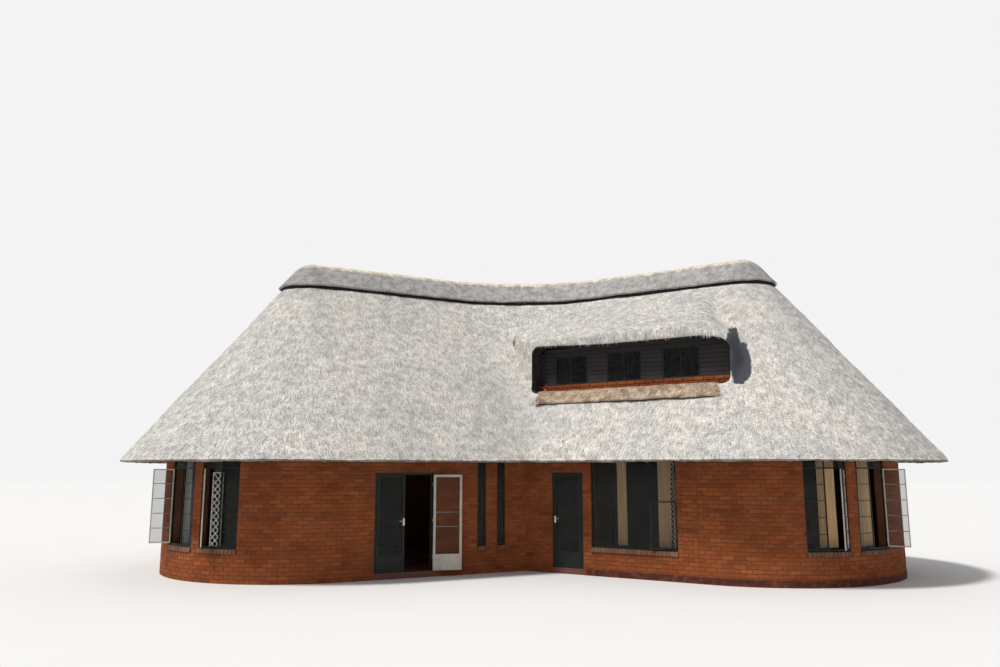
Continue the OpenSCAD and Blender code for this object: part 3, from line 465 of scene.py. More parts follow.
def blurred(field, passes, axes=(0, 1)):
    """A field smoothed along its directions."""
    for _ in range(passes):
        for axis in axes:
            at, last = np.arange(field.shape[axis]), field.shape[axis] - 1
            back = np.take(field, np.maximum(at - 1, 0), axis)
            ahead = np.take(field, np.minimum(at + 1, last), axis)
            field = (back + 2 * field + ahead) / 4
    return field


def hood_lifts(grids):
    """How far the hood lifts each wing's straw, smoothed across the valley, with an eased cheek."""
    lifts = {side: hood_lift(into_right(side, p), into_right(side, n))
             for side, (p, n) in grids.items()}
    both = blurred(np.concatenate([lifts[LEFT][:0:-1], lifts[RIGHT]]), 2)
    valley = len(lifts[LEFT]) - 1
    lift = both[valley:]
    x, _, z = np.moveaxis(grids[RIGHT][0], 2, 0)
    beyond = ease((x - CHEEK_FROM - 0.15) / 0.10)
    eased = np.maximum(lift, 0.9 * blurred(lift, 10, (0,)))
    lift = lift * (1 - beyond) + eased * beyond
    return {LEFT: both[valley::-1], RIGHT: lift * ease((z - SOFFIT_FOOT + 0.10) / 0.10)}


def brow(x):
    """Height of the opening's upper edge, which falls towards its right end."""
    level = BROW_LEFT - (BROW_LEFT - BROW_RIGHT) * ease(x / BROW_FALL)
    past = np.maximum(0, x - (DORMER_END - BROW_END)) / BROW_END
    return level - BROW_DROP * past ** 2


def in_opening(p, grow=0.0):
    """Whether points of the right wing's frame lie in the opening's outline, and before the ridge."""
    x, y, z = p.T
    level = DORMER_FOOT + (z - SOFFIT_FOOT) * DORMER_H / (brow(x) - SOFFIT_FOOT)
    half_w, half_h = DORMER_W / 2 + grow, DORMER_H / 2 + grow
    dx = np.abs(x - DORMER_AT - DORMER_W / 2) - half_w + DORMER_ROUND
    dz = np.abs(level - DORMER_FOOT - DORMER_H / 2) - half_h + DORMER_ROUND
    past = np.hypot(np.maximum(dx, 0), np.maximum(dz, 0)) + np.minimum(np.maximum(dx, dz), 0)
    return (past < DORMER_ROUND) & (y < BEFORE_RIDGE)


def opening_outline(count=1600):
    """Points round the opening in x and z."""
    middle = np.array([DORMER_AT + DORMER_W / 2, DORMER_FOOT + DORMER_H / 2])
    core = np.array([DORMER_W / 2 - DORMER_ROUND, DORMER_H / 2 - DORMER_ROUND])
    loop = [middle + core * corner + DORMER_ROUND * ring(np.linspace(k, k + 1, 24) * np.pi / 2)
            for k, corner in enumerate([(1, 1), (-1, 1), (-1, -1), (1, -1)])]
    loop = np.concatenate(loop + [loop[0][:1]])
    way = way_along(loop)
    at = np.linspace(0, way[-1], count)
    x, level = np.interp(at, way, loop[:, 0]), np.interp(at, way, loop[:, 1])
    return np.stack([x, SOFFIT_FOOT + (level - DORMER_FOOT) * (brow(x) - SOFFIT_FOOT) / DORMER_H], 1)


TUNNEL_Y = (0.36, 0.45, 0.55, 0.65, DORMER_WALL_Y + 0.02)  # the rings of the opening's lining


def edges_of(faces):
    """The edges of each face as pairs of points, in the face's direction."""
    return map(tuple, np.stack([faces, np.roll(faces, -1, 1)], 2).reshape(-1, 2).tolist())


def cut_opening(points, faces, outer):
    """The dormer's opening: faces in it go, its edge is drawn to the outline and turned inwards.

    outer says which faces lie on the roof's outer face.
    """
    p = points.reshape(-1, 3)
    inside = in_opening(p[faces].mean(1))
    kept = faces[~inside]
    shared = {(b, a) for a, b in edges_of(kept)}
    after = {a: b for a, b in edges_of(faces[inside & outer]) if (a, b) in shared}
    loop = [next(iter(after))]
    while after[loop[-1]] != loop[0]:
        loop.append(after[loop[-1]])
    outline = opening_outline()
    at = p[loop]
    nearest = ((at[:, None, [0, 2]] - outline[None]) ** 2).sum(2).argmin(1)
    at[:, [0, 2]] = outline[nearest]
    at[:, 1] = np.clip(at[:, 1], DORMER_FACE - 0.20, DORMER_FACE + 0.05)
    p[loop] = at
    rings = [np.stack([at[:, 0], 0 * at[:, 1] + y, at[:, 2]], 1) for y in TUNNEL_Y]
    ids = [np.array(loop)] + [len(p) + np.arange(len(loop)) + k * len(loop) for k in range(len(rings))]
    tunnel = [np.stack([a, np.roll(a, -1), np.roll(b, -1), b], 1) for a, b in zip(ids, ids[1:])]
    return np.concatenate([p] + rings), kept, np.concatenate(tunnel)


# Painted shade and shadow on the straw: 0 is plain straw and 1 is dark

MARK_X, MARK_Z = 0.296, 5.53
MARK_W, MARK_H, MARK_DEPTH = 0.05, 0.13, 0.85
STRIP_END, STRIP_FOOT, STRIP_HEAD = 5.08, 4.34, 5.14
CHEEK_STEEP, CHEEK_STEEP_RANGE = 0.12, 0.35  # how steeply the hood falls there
CHEEK_HIGH, CHEEK_HIGH_RANGE, CHEEK_HIGH_STEEP = 5.1, 0.3, 0.06  # and how much less it need do so
SPREAD_FROM, SPREAD_STEP, SPREAD_RANGE = 5.55, 0.25, 0.4  # heights below which the painted shadow spreads
NO_STRAWS = 0.12  # straws lie only where the painted shade is less than this


def cheek_shade(plan, lift):
    """Painted shade on the hood's steep right end, and its painted shadow on what lies within three
    stations of it lower down.
    """
    x, y, z = np.moveaxis(plan, 2, 0)
    fall = np.zeros(lift.shape)
    fall[1:-1] = (lift[:-2] - lift[2:]) / np.maximum(
        np.linalg.norm(plan[2:] - plan[:-2], axis=2), 0.02)
    front = (x > CHEEK_FROM) & (x < CHEEK_FROM + CHEEK_SHADE_W) & (y < BEFORE_RIDGE)
    less = CHEEK_HIGH_STEEP * ease((z - CHEEK_HIGH) / CHEEK_HIGH_RANGE)
    steep = ease((fall - CHEEK_STEEP + less) / CHEEK_STEEP_RANGE) * front
    shade = steep.copy()
    for step in (1, 2, 3):
        low = ease((SPREAD_FROM - SPREAD_STEP * step - z[step:]) / SPREAD_RANGE)
        shade[step:] = np.maximum(shade[step:], steep[:-step] * low)
    shade[:, 1:] = np.maximum(shade[:, 1:], shade[:, :-1])
    return shade


def strip_shade(points):
    """Painted shade on the strip of the slope beside the opening's right end."""
    x, y, z = np.moveaxis(points, 2, 0)
    beside = ease((x - DORMER_AT - DORMER_W + 0.10) / 0.06) * ease((STRIP_END - x) / 0.06)
    return beside * ease((z - STRIP_FOOT) / 0.12) * ease((STRIP_HEAD - z) / 0.10) * (y < BEFORE_RIDGE)


def mark_shade(points):
    """Painted shade for a small dip in the left wing's roof, near the valley."""
    x, y, z = np.moveaxis(points, 2, 0)
    across = x * TURN_COS + y * TURN_SIN
    far = ((across - MARK_X) / MARK_W) ** 2 + ((z - MARK_Z) / MARK_H) ** 2
    return MARK_DEPTH * np.exp(-far) * (y < BEFORE_RIDGE)


# The coat of straw

UNDER_D = np.array([3.99, 3.85, 3.6, 3.3, 2.95, 2.63, 2.3, 1.8, 1.0, 0.3, 0.004])
CUT_ROWS = 4  # rows of the eave's cut edge
NOSE_LEN, NOSE_DROP, NOSE_IN = 0.20, 0.025, 0.008  # how the eave's tip is worn round
EDGE_D, EDGE_Z = 4.02, 2.472  # the inner edge of the eave's trimmed straw
SHADE_FROM, SHADE_TO = CAP_END - 0.06, CAP_END + 0.045  # a painted shade line below the ridge cap
COAT, CUT, UNDER, SHADE_PAINT = range(4)  # the coat's finishes; the last is near-black painted shade


def thatch_grids():
    """Stations and rows of the outer face, and each wing's points and the painted shade and shadow on
    them.
    """
    origin, toward, way = stations(*COAT_STEPS)
    s = np.concatenate([np.linspace(0.004, 0.62, 8), np.arange(0.66, ROOF_LEN - 0.03, ROW_STEP),
                        [ROOF_LEN - 0.012]])
    grids = {side: sweep(origin, toward, *roof_section(s)) for side in SIDES}
    lifts = hood_lifts(grids)
    nose = ease((s - ROOF_LEN + NOSE_LEN) / NOSE_LEN) ** 2
    worn = {}
    for side, (points, out) in grids.items():
        points = points + out * (lifts[side] + lumps(side, points))[..., None]
        points[..., :2] -= toward[:, None] * (NOSE_IN * nose)[:, None]
        points[..., 2] -= NOSE_DROP * nose
        worn[side] = points
    cheek = cheek_shade(grids[RIGHT][0], lifts[RIGHT])
    hollow = {LEFT: mark_shade(worn[LEFT]), RIGHT: np.maximum(cheek, strip_shade(worn[RIGHT]))}
    return (origin, toward, way, s), worn, hollow


def thatch_underside(side, origin, toward):
    """Rows that carry the outer face on: the eave's cut edge, and the face under the straw."""
    cut = np.linspace(0, 1, CUT_ROWS)
    tip_d, tip_z = EAVE_R - NOSE_IN + 0.003, EAVE_Z - NOSE_DROP - 0.012
    under_z = INNER_Z + (INNER_R - UNDER_D) * TAN_P
    under_z[:2] = EDGE_Z + np.array([0.03, 0.16])
    d = np.concatenate([tip_d - cut * (tip_d - EDGE_D), UNDER_D])
    z = np.concatenate([tip_z - cut * (tip_z - EDGE_Z), under_z])
    under, _ = sweep(origin, toward, d, z, 0 * d, 0 * z)
    wave = lumps(side, under[:, :1] + [0.0, 0.0, 3.0], 2.0)
    fade = np.concatenate([np.ones(CUT_ROWS), [0.7, 0.4, 0.2], np.zeros(len(UNDER_D) - 3)])
    under[..., 2] += 0.7 * wave * fade
    return under


def thatch_shell(side, roof, points, hollow):
    """A wing's thatch from the ridge to the eave, round its cut edge and back up underneath."""
    origin, toward, way, s = roof
    whole = np.concatenate([points, thatch_underside(side, origin, toward)], 1)
    rows_n, last = whole.shape[1], len(s) - 1
    run = np.concatenate([s, ROOF_LEN + 0.03 * np.arange(1, CUT_ROWS + 1), ROOF_LEN + EAVE_R - UNDER_D])
    uv = np.stack(np.broadcast_arrays(way[:, None], run), 2).reshape(-1, 2)
    flat, faces, lining = whole.reshape(-1, 3), grid_faces(*whole.shape[:2]), np.zeros((0, 4), int)
    if side == RIGHT:
        flat, faces, lining = cut_opening(whole, faces, faces[:, 0] % rows_n < last)
        inner = flat[len(uv):]
        uv = np.concatenate([uv, np.stack([inner[:, 0], inner[:, 2] + inner[:, 1]], 1)])
    row = faces[:, 0] % rows_n
    finish = np.where(row < last, COAT, np.where(row < last + CUT_ROWS, CUT, UNDER))
    # Painted shade: the coat's rows just below the ridge cap take the near-black finish, as a dark line
    shaded = (s > SHADE_FROM) & (s < SHADE_TO)
    finish[(row < last) & shaded[row % len(s)]] = SHADE_PAINT
    # Painted shade and shadow for each point: the values from thatch_grids on the outer face, none on
    # the rest
    dark = np.zeros(whole.shape[:2])
    dark[:, :len(s)] = hollow
    dark = np.concatenate([dark.ravel(), np.zeros(len(flat) - dark.size)])
    piece = make_mesh(SIDES[side] + "_thatch_coat", side, flat, np.concatenate([faces, lining]),
                      smooth=True, uv=uv, hollow=dark)
    # The opening's lining takes the near-black finish too, as painted shade
    set_finishes(piece, np.concatenate([finish, np.full(len(lining), SHADE_PAINT)]))
    return piece


# Loose straws

SLOPE_BLADES, CAP_BLADES, EAVE_BLADES = 70000, 5200, 330  # the last is a number for each metre
# How far they sway to the sides and stand off, their lengths and their widths
SLOPE_STRAWS = 0.14, (0.02, 0.14), (0.05, 0.14), (0.006, 0.015)
EAVE_STRAWS = 0.08, (0.02, 0.16), (0.0, 0.030), (0.007, 0.014)
CAP_STRAWS = 0.2, (0.02, 0.16), (0.05, 0.11), (0.005, 0.010)
STRAW_SUNK = 0.004  # how deep a straw's foot stands in the coat
STRAW_TIP = 0.4  # the width of its tip, as a part of its foot's
# At the eave some start deeper in the cut edge, and are shorter for it, and darker as painted shade
EAVE_IN, EAVE_UP, EAVE_LONG, EAVE_SHORTER, EAVE_DARKER = 0.13, 0.04, 0.058, 0.03, 0.7
OPENING_CLEAR = 0.05  # none lie this near the dormer's opening


def straws(name, side, foot, down, over, out, kind, longer=0.0, tones=(0, 1), dim=1.0):
    """Loose straws as thin strips: each from its foot down the slope, tapering to its tip."""
    sway, stand, length, width = kind
    count = len(foot)
    along = unit(down + rng.normal(0, sway, (count, 1)) * over
                 + rng.uniform(*stand, (count, 1)) * out)
    tip = foot + along * (longer + rng.uniform(*length, count))[:, None]
    half = over * rng.uniform(*width, count)[:, None] / 2
    tone = np.repeat(rng.uniform(*tones, count) * dim, 4)
    points = np.stack([foot - half, foot + half, tip + STRAW_TIP * half, tip - STRAW_TIP * half], 1)
    faces = np.arange(4 * count).reshape(-1, 4)
    return make_mesh(SIDES[side] + name, side, points.reshape(-1, 3), faces, tone=tone)


def strew(grid, at):
    """Points, directions down the slope and along the wing, and outward, at places of a grid.

    A place is a station and a row, each with its fraction, and is never past the last cell.
    """
    i, j = at.astype(int).T
    f, g = (at - at.astype(int)).T[..., None]
    a, b, c, d = grid[i, j], grid[i + 1, j], grid[i, j + 1], grid[i + 1, j + 1]
    point = (a * (1 - f) + b * f) * (1 - g) + (c * (1 - f) + d * f) * g
    down = unit((c - a) * (1 - f) + (d - b) * f)
    over = unit((b - a) * (1 - g) + (d - c) * g)
    return point, down, over, np.cross(down, over)


def slope_blades(side, grid, s, hollow):
    """Straws that lie on the slope of a wing with their lower ends just off it."""
    first = int(np.argmax(s > SHADE_TO))
    at = rng.uniform(0, 1, (4 * SLOPE_BLADES, 2))
    at = at * [len(grid) - 1.001, len(s) - 3.001 - first] + [0, first]
    i, j = at.astype(int).T
    laid = strew(grid, at)
    size = np.linalg.norm(grid[i + 1, j] - grid[i, j], axis=1)
    keep = rng.uniform(0, size.max(), len(size)) < size
    if side == RIGHT:
        keep &= ~in_opening(laid[0], OPENING_CLEAR)
    keep &= hollow[i, j] < NO_STRAWS
    keep = np.flatnonzero(keep)[:SLOPE_BLADES]
    point, down, over, out = (v[keep] for v in laid)
    return straws("_straws", side, point - STRAW_SUNK * out, down, over, out, SLOPE_STRAWS)


def eave_blades(side, grid, s):
    """The ragged brush of cut ends along a wing's eave."""
    run = way_along(grid[:, len(s) - 1])
    count = int(run[-1] * EAVE_BLADES)
    at = np.interp(rng.uniform(0, run[-1], count), run, np.arange(len(grid)))
    at = np.clip(at, 0, len(grid) - 1.001)
    point, down, over, out = strew(grid, np.stack([at, np.full(count, len(s) - 2.0)], 1))
    deep = rng.uniform(0, 1, count) ** 2
    foot = point - out * (EAVE_IN * deep + STRAW_SUNK)[:, None] - down * EAVE_UP
    return straws("_eave_straws", side, foot, down, over, -out, EAVE_STRAWS,
                  EAVE_LONG - EAVE_SHORTER * deep, (0.3, 1), 1 - EAVE_DARKER * deep)


def cap_blades(side, outer):
    """Straws on the ridge cap: along its sides, and over its lower edge."""
    stations_n, rows_n = outer.shape[:2]
    at = rng.uniform(0, 1, (CAP_BLADES, 2)) * [stations_n - 1.001, rows_n - 3.001] + [0, 1]
    at[CAP_BLADES // 2:, 1] = rows_n - 2.001
    point, down, over, out = strew(outer, at)
    return straws("_cap_straws", side, point - STRAW_SUNK * out, down, over, out, CAP_STRAWS)


# The ridge cap and the apron below the dormer

SKIN_ROWS = 17  # rows of the cap's outer skin
CAP_EDGE = np.array([[0.90], [0.5], [0.02]])  # its cut edge's heights, as parts of its thickness
CAP_EDGE_DOWN = np.array([[0.012], [0.016], [0.004]])  # and how far down the slope they lie
CAP_TUCK = 0.15
ROLL_ALONG = np.array([0.075, 0.062, 0.060, 0.066, 0.085, 0.15, 0.24, 0.33, 0.41])
ROLL_HEIGHT = np.array([-0.02, 0.01, 0.04, 0.066, 0.080, 0.084, 0.076, 0.060, 0.046])
ROLL_FLOOR_Y = np.array([0.31, 0.40, 0.55, 0.71])
ROLL_FLOOR_Z = SOFFIT_FOOT + np.array([0.046, 0.036, 0.020, 0.010])
ROLL_SUNK = 0.10  # how far the roll's ends go down into the slope
ROLL_ROW = 0.06


def cap_grid(side):
    """The ridge cap of a wing, its UV and its outer skin: skin, cut lower edge and a strip under."""
    origin, toward, way = stations(*CAP_STEPS)
    steps = np.linspace(0.006, 1, SKIN_ROWS)
    base, _ = sweep(origin, toward, *roof_section(CAP_END * steps))
    row = to_row(side, base[:, -1])
    wave = 0.030 * smooth_noise(row, 1.3, 3) + 0.016 * smooth_noise(row, 5.5, 5)
    run = CAP_END * steps + wave[:, None] * steps ** 4
    points, out = sweep(origin, toward, *roof_section(run))
    thick = CAP_T + 0.55 * lumps(side, points, 1.5)
    outer = points + out * thick[..., None]
    slope = np.concatenate([toward * COS_P, np.full((len(toward), 1), -SIN_P)], 1)[:, None]
    edge = points[:, -1:] + out[:, -1:] * (thick[:, -1:, None] * CAP_EDGE) + slope * CAP_EDGE_DOWN
    tuck = edge[:, -1:] - slope * CAP_TUCK + out[:, -1:] * 0.01
    v = np.concatenate([run, run[:, -1:] + 0.05 * np.arange(1, 5)], 1)
    return np.concatenate([outer, edge, tuck], 1), way[:, None], v, outer


def apron_grid():
    """The straw apron: a low roll below the opening, its top carried on into the opening's floor."""
    x = np.linspace(DORMER_AT + 0.10, DORMER_AT + DORMER_W - 0.12, 101)
    wall_z = EAVE_Z + OVERHANG * TAN_P
    y = np.concatenate([ROLL_ALONG * COS_P - ROLL_HEIGHT * SIN_P, ROLL_FLOOR_Y])
    z = np.concatenate([wall_z + ROLL_ALONG * SIN_P + ROLL_HEIGHT * COS_P, ROLL_FLOOR_Z])
    points = np.stack(np.broadcast_arrays(x[:, None], y, z), 2)
    radius = np.clip((points[..., 2] - wall_z) / TAN_P, None, DORMER_FACE) - BEND_Y
    aside = np.maximum(0, BEND_X - points[..., 0])
    inside = 1 - ease((points[..., 1] - DORMER_FACE) / 0.15)
    points[..., 1] += (np.sqrt(radius ** 2 - aside ** 2) - radius) * inside
    sunk = ROLL_SUNK * (1 - ease(np.minimum((x - x[0]) / 0.10, (x[-1] - x) / 0.30)))[:, None]
    points[..., 1] += sunk * SIN_P
    points[..., 2] -= sunk * COS_P
    wave = smooth_noise(points[:, 2], 1.6, 21) * 0.022 + smooth_noise(points[:, 2], 6, 23) * 0.010
    wave = wave[:, None] * np.concatenate([np.ones(5), np.linspace(0.8, 0, 8)])
    points[..., 1] -= wave * COS_P
    points[..., 2] -= wave * SIN_P
    square = (1 - ease((x - x[0]) / 0.5))[:, None] * TURN_TAN
    points[..., 0] += square * np.maximum(0, DORMER_FACE - points[..., 1])
    points[..., 2] += smooth_noise(points.reshape(-1, 3), 5, 29).reshape(points.shape[:2]) * 0.008
    return points


def straw_finish(name, dark, middle, light, spread=1.0, deep=None):
    """Weathered straw combed down the slope. The UV runs along the wing and down the slope.

    deep is the colour of painted shade and shadow, used where the mesh's shade attribute is near 1.
    """
    finish = Finish(name, Roughness=0.9)
    streaks = finish.spots(26, 3.0, (1.0, 0.30, 1.0), uv=True, rough=0.65)
    ends = finish.spots(62, 2.0, (1.0, 0.55, 1.0), uv=True)
    clumps = finish.spots(5, 4.0, rough=0.6)
    colour = finish.ramp(clumps, (0.36, dark), (0.50, middle), (0.64, light))
    low, high = 1 - 0.24 * spread, 1 + 0.14 * spread
    colour = finish.shade(colour, streaks, (0.38, low), (0.50, 1.0), (0.62, high))
    colour = finish.shade(colour, ends, (0.36, 0.62), (0.50, 1.0), (0.64, 1.22))
    colour = finish.shade(colour, finish.spots(0.7), (0.38, (0.90, 0.90, 0.92)),
                          (0.60, (1.03, 1.01, 0.98)))
    # Painted shade and shadow: the deep colour, with a ragged edge, where the mesh's shade attribute is
    # high
    if deep is not None:
        ragged = finish.math("MULTIPLY", finish.math("SUBTRACT", streaks, 0.5), 1.2)
        edge = finish.math("ADD", finish.attribute("hollow"), ragged)
        colour = finish.mix(finish.ramp(edge, (0.35, 0.0), (0.70, 1.0)), colour, deep)
    return finish.done(colour, finish.bump(ends, 0.008, 0.8, finish.bump(streaks, 0.016, 0.7)))


def blade_finish(name, *stops):
    """Straws that each have a tone of their own."""
    finish = Finish(name, Roughness=0.8)
    colour = finish.ramp(finish.attribute("tone"), *stops)
    return finish.done(finish.shade(colour, finish.spots(90, 2.0), (0.3, 0.8), (0.7, 1.1)))


def cap_finish():
    """Pale cream straw along the very top, by height, grey down the sides."""
    finish = Finish("cap_straw", Roughness=0.9)
    streaks = finish.spots(26, 3.0, (1.0, 0.30, 1.0), uv=True, rough=0.65)
    ends = finish.spots(110, 2.0, (1.0, 0.45, 1.0), uv=True)
    clumps = finish.spots(6, 4.0)
    side = finish.ramp(clumps, (0.36, (0.29, 0.28, 0.27)), (0.50, (0.38, 0.365, 0.355)),
                       (0.64, (0.47, 0.455, 0.43)))
    crest = finish.ramp(clumps, (0.36, (0.66, 0.54, 0.38)), (0.6, (0.84, 0.77, 0.64)))
    height = finish.math("MULTIPLY_ADD", finish.math("SUBTRACT", clumps, 0.5), 0.16,
                         finish.place()["Z"])
    top = finish.node("MapRange", {"Value": height, "From Min": 7.31, "From Max": 7.40})
    colour = finish.mix(top.outputs["Result"], side, crest)
    colour = finish.shade(colour, streaks, (0.3, 0.70), (0.52, 1.0), (0.7, 1.12))
    colour = finish.shade(colour, ends, (0.3, 0.70), (0.55, 1.0))
    return finish.done(colour, finish.bump(ends, 0.006, 0.8, finish.bump(streaks, 0.020, 0.8)))


def build_coat(side, roof, points, hollow, finishes, loose):
    node = SIDES[side] + "_thatch"
    dress(thatch_shell(side, roof, points, hollow), finishes, "thatch", node, "dormer_hood")
    for piece in (slope_blades(side, points, roof[-1], hollow), eave_blades(side, points, roof[-1])):
        dress(piece, [loose], "thatch", node)


def build_cap(side, finishes, loose):
    grid, u, v, outer = cap_grid(side)
    cap = grid_mesh(SIDES[side] + "_cap", side, grid, u, v)
    dress(cap, finishes, "cap_thatch", "ridge_cap")
    # The cap's cut edge and the strip under it take the second finish, near-black painted shade
    set_finishes(cap, grid_faces(*grid.shape[:2])[:, 0] % grid.shape[1] > SKIN_ROWS)
    dress(cap_blades(side, outer), [loose], "cap_thatch", "ridge_cap")


def build_apron(finishes):
    grid = apron_grid()
    count, rows = grid.shape[:2]
    apron = grid_mesh("dormer_roll", RIGHT, grid, grid[..., 0], np.arange(rows) * ROLL_ROW)
    dress(apron, finishes, "cap_thatch", "dormer_apron")
    # The roll's two lowest rows take the second finish, near-black painted shade under the roll
    set_finishes(apron, grid_faces(count, rows)[:, 0] % rows < 2)


def build_thatch():
    # deep here is a bluish painted shadow, laid where the mesh's shade attribute is high
    grey = straw_finish("grey_straw", (0.46, 0.443, 0.425), (0.59, 0.567, 0.532),
                        (0.71, 0.68, 0.635), deep=(0.050, 0.055, 0.068))
    cut = straw_finish("cut_straw", (0.14, 0.125, 0.11), (0.24, 0.22, 0.20), (0.36, 0.335, 0.30), 1.4)
    # Near-black straw: painted shade under the ridge cap, on its cut edge, in the dormer's opening and
    # under the roll
    deep = straw_finish("shade_paint_straw", (0.010, 0.009, 0.010), (0.020, 0.018, 0.018),
                        (0.040, 0.036, 0.034))
    under = straw_finish("under_straw", (0.10, 0.070, 0.042), (0.19, 0.14, 0.085),
                         (0.28, 0.21, 0.13))
    tan = straw_finish("tan_straw", (0.24, 0.165, 0.115), (0.38, 0.28, 0.20), (0.52, 0.42, 0.32), 1.3)
    loose = blade_finish("loose_straw", (0.0, (0.24, 0.235, 0.225)), (0.35, (0.46, 0.445, 0.42)),
                         (0.8, (0.66, 0.635, 0.59)), (1.0, (0.78, 0.74, 0.66)))
    cap = cap_finish()
    roof, worn, hollow = thatch_grids()
    for side, points in worn.items():
        build_coat(side, roof, points, hollow[side], (grey, cut, under, deep), loose)
        build_cap(side, (cap, deep), loose)
    build_apron((tan, deep))


# Walls: the outer face of a wing, followed from the inner corner round to the back corner

DOOR_HEAD, WINDOW_HEAD = 2.25, 2.70
FRONT_SILL, ROUND_SILL = 0.62, 0.70
SILL_H, SILL_OUT = 0.11, 0.04
FRENCH_AT, FRENCH_W = 2.32, 1.38
DOOR_AT, DOOR_W = 0.72, 0.78
SLOTS_AT, SLOT_W = (0.54, 1.04), 0.22
WIDE_AT, WIDE_W = 1.70, 2.02
BACK_AT = 1.60
ROUND_W, PIER_W = 0.96, 0.237
ROUND_HALF = math.asin(ROUND_W / 2 / END_R)
WINDOW_STEP = 2 * ROUND_HALF + 2 * math.asin(PIER_W / 2 / END_R)
FIRST_WINDOW = {LEFT: math.radians(47.5), RIGHT: math.radians(42.5)}
PLUMB_JOINT_AT, PLUMB_JOINT_W = 4.15, 0.014
FOOT_PROUD = 0.085

BACK_START = FRONT + math.pi * END_R
BEND_START = BACK_START + FRONT - BEND_X
WALL_LEN = BEND_START + BACK_BEND * WING_TURN

COURSE, BRICK_H = 0.085, 0.074
BRICK_STEP, BRICK_L = 0.232, 0.221
BRICK_PROUD, BRICK_BEVEL, BRICK_DEPTH = 0.008, 0.004, 0.012
REVEAL_PROUD, REVEAL_DEPTH = 0.004, 0.038
LEAST_L, LEAST_H = 0.02, 0.012  # smaller cut pieces of brick are left out
SILL_GAP, SILL_LIP, SILL_FALL, BED_FALL = 0.005, 0.002, 0.012, 0.014


def wall_at(u):
    """The point at u along a wing's outer wall face, and the outward direction there, in plan."""
    u = np.asarray(u, float)
    end = (u - FRONT) / END_R
    bend = math.pi / 2 + (u - BEND_START) / BACK_BEND
    parts = [u < FRONT, u < BACK_START, u < BEND_START]
    x = np.select(parts, [u, FRONT + END_R * np.sin(end), FRONT - (u - BACK_START)],
                  BEND_X + BACK_BEND * np.cos(bend))
    y = np.select(parts, [0 * u, END_R - END_R * np.cos(end), 0 * u + 2 * END_R],
                  BEND_Y + BACK_BEND * np.sin(bend))
    out_x = np.select(parts, [0 * u, np.sin(end), 0 * u], np.cos(bend))
    out_y = np.select(parts, [0 * u - 1, -np.cos(end), 0 * u + 1], np.sin(bend))
    return x, y, out_x, out_y


def dormer_wall_at(u):
    """The same for the straight face behind the dormer's opening."""
    return u, 0 * u + DORMER_WALL_Y, 0 * u, 0 * u - 1


def dormer_foot_at(u):
    """The same for the brick courses at its foot, which stand in front of the rafters' ends."""
    x, y, out_x, out_y = dormer_wall_at(u + DORMER_AT)
    return x, y - FOOT_PROUD, out_x, out_y


def window_turn(side, k):
    """How far round the end the middle of a wing's round window k is."""
    return FIRST_WINDOW[side] + k * WINDOW_STEP


def windows(side):
    """Start, end and top of sill of each window along a wing's wall."""
    middles = [FRONT + END_R * window_turn(side, k) for k in (0, 1)]
    spans = [(m - END_R * ROUND_HALF, m + END_R * ROUND_HALF, ROUND_SILL) for m in middles]
    back = BACK_START + FRONT - BACK_AT - WIDE_W
    spans.append((back, back + WIDE_W, FRONT_SILL))
    if side == LEFT:
        return spans + [(u, u + SLOT_W, FRONT_SILL) for u in SLOTS_AT]
    return spans + [(WIDE_AT, WIDE_AT + WIDE_W, FRONT_SILL)]


def cut_brick(brick, hole):
    """What is left of a brick beside, under and over a hole in the wall."""
    u0, u1, z0, z1, deep = brick
    a, b, foot, head, reveal = hole
    if u1 <= a or u0 >= b or z1 <= foot or z0 >= head:
        return [brick]
    past = REVEAL_PROUD if reveal else 0.0
    side_deep = REVEAL_DEPTH if reveal else deep
    rest = []
    if u0 < a:
        rest.append((u0, a + past, z0, z1, side_deep))
    if u1 > b:
        rest.append((b - past, u1, z0, z1, side_deep))
    if z0 < foot:
        rest.append((max(u0, a), min(u1, b), z0, foot, deep))
    if z1 > head:
        rest.append((max(u0, a), min(u1, b), head, z1, deep))
    return [r for r in rest if r[1] - r[0] > LEAST_L and r[3] - r[2] > LEAST_H]


def lay_bricks(length, foot, head, holes):
    """Courses of stretchers, cut at the holes: rows of start, end, foot, top, depth."""
    laid = []
    for course in range(int((head - foot) / COURSE)):
        low = foot + course * COURSE
        for u in np.arange(-BRICK_STEP / 2 * (course % 2), length, BRICK_STEP):
            pieces = [(max(0.0, u), min(length, u + BRICK_L), low, low + BRICK_H, BRICK_DEPTH)]
            for hole in holes:
                pieces = [p for piece in pieces for p in cut_brick(piece, hole)]
            laid += [p for p in pieces if p[1] - p[0] > LEAST_L]
    return laid


def lay_sills(spans):
    """Bricks on edge along each window's sill, and the bed of mortar between them, in such rows.

    A few millimetres keep them clear of the walls and the frames.
    """
    sills, beds = [], []
    for a, b, top in spans:
        count = round((b - a) / COURSE)
        for k in range(count):
            u = a + (b - a) * k / count
            sills.append((u + SILL_GAP, u + (b - a) / count - SILL_GAP, top - SILL_H + 0.004,
                          top - 0.001, WALL_T - 0.004))
        beds.append((a + 0.001, b - 0.001, top - SILL_H + 0.002, top - 0.006, WALL_T - 0.006))
    return sills, beds


# A block's corners are its back, its front and, drawn in by the bevel, its face
BLOCK = np.array([(0, 1, 5, 4), (1, 2, 6, 5), (2, 3, 7, 6), (3, 0, 4, 7), (4, 5, 9, 8), (5, 6, 10, 9),
                  (6, 7, 11, 10), (7, 4, 8, 11), (8, 9, 10, 11)])
BLOCK_TOP = [6, 7, 10, 11]


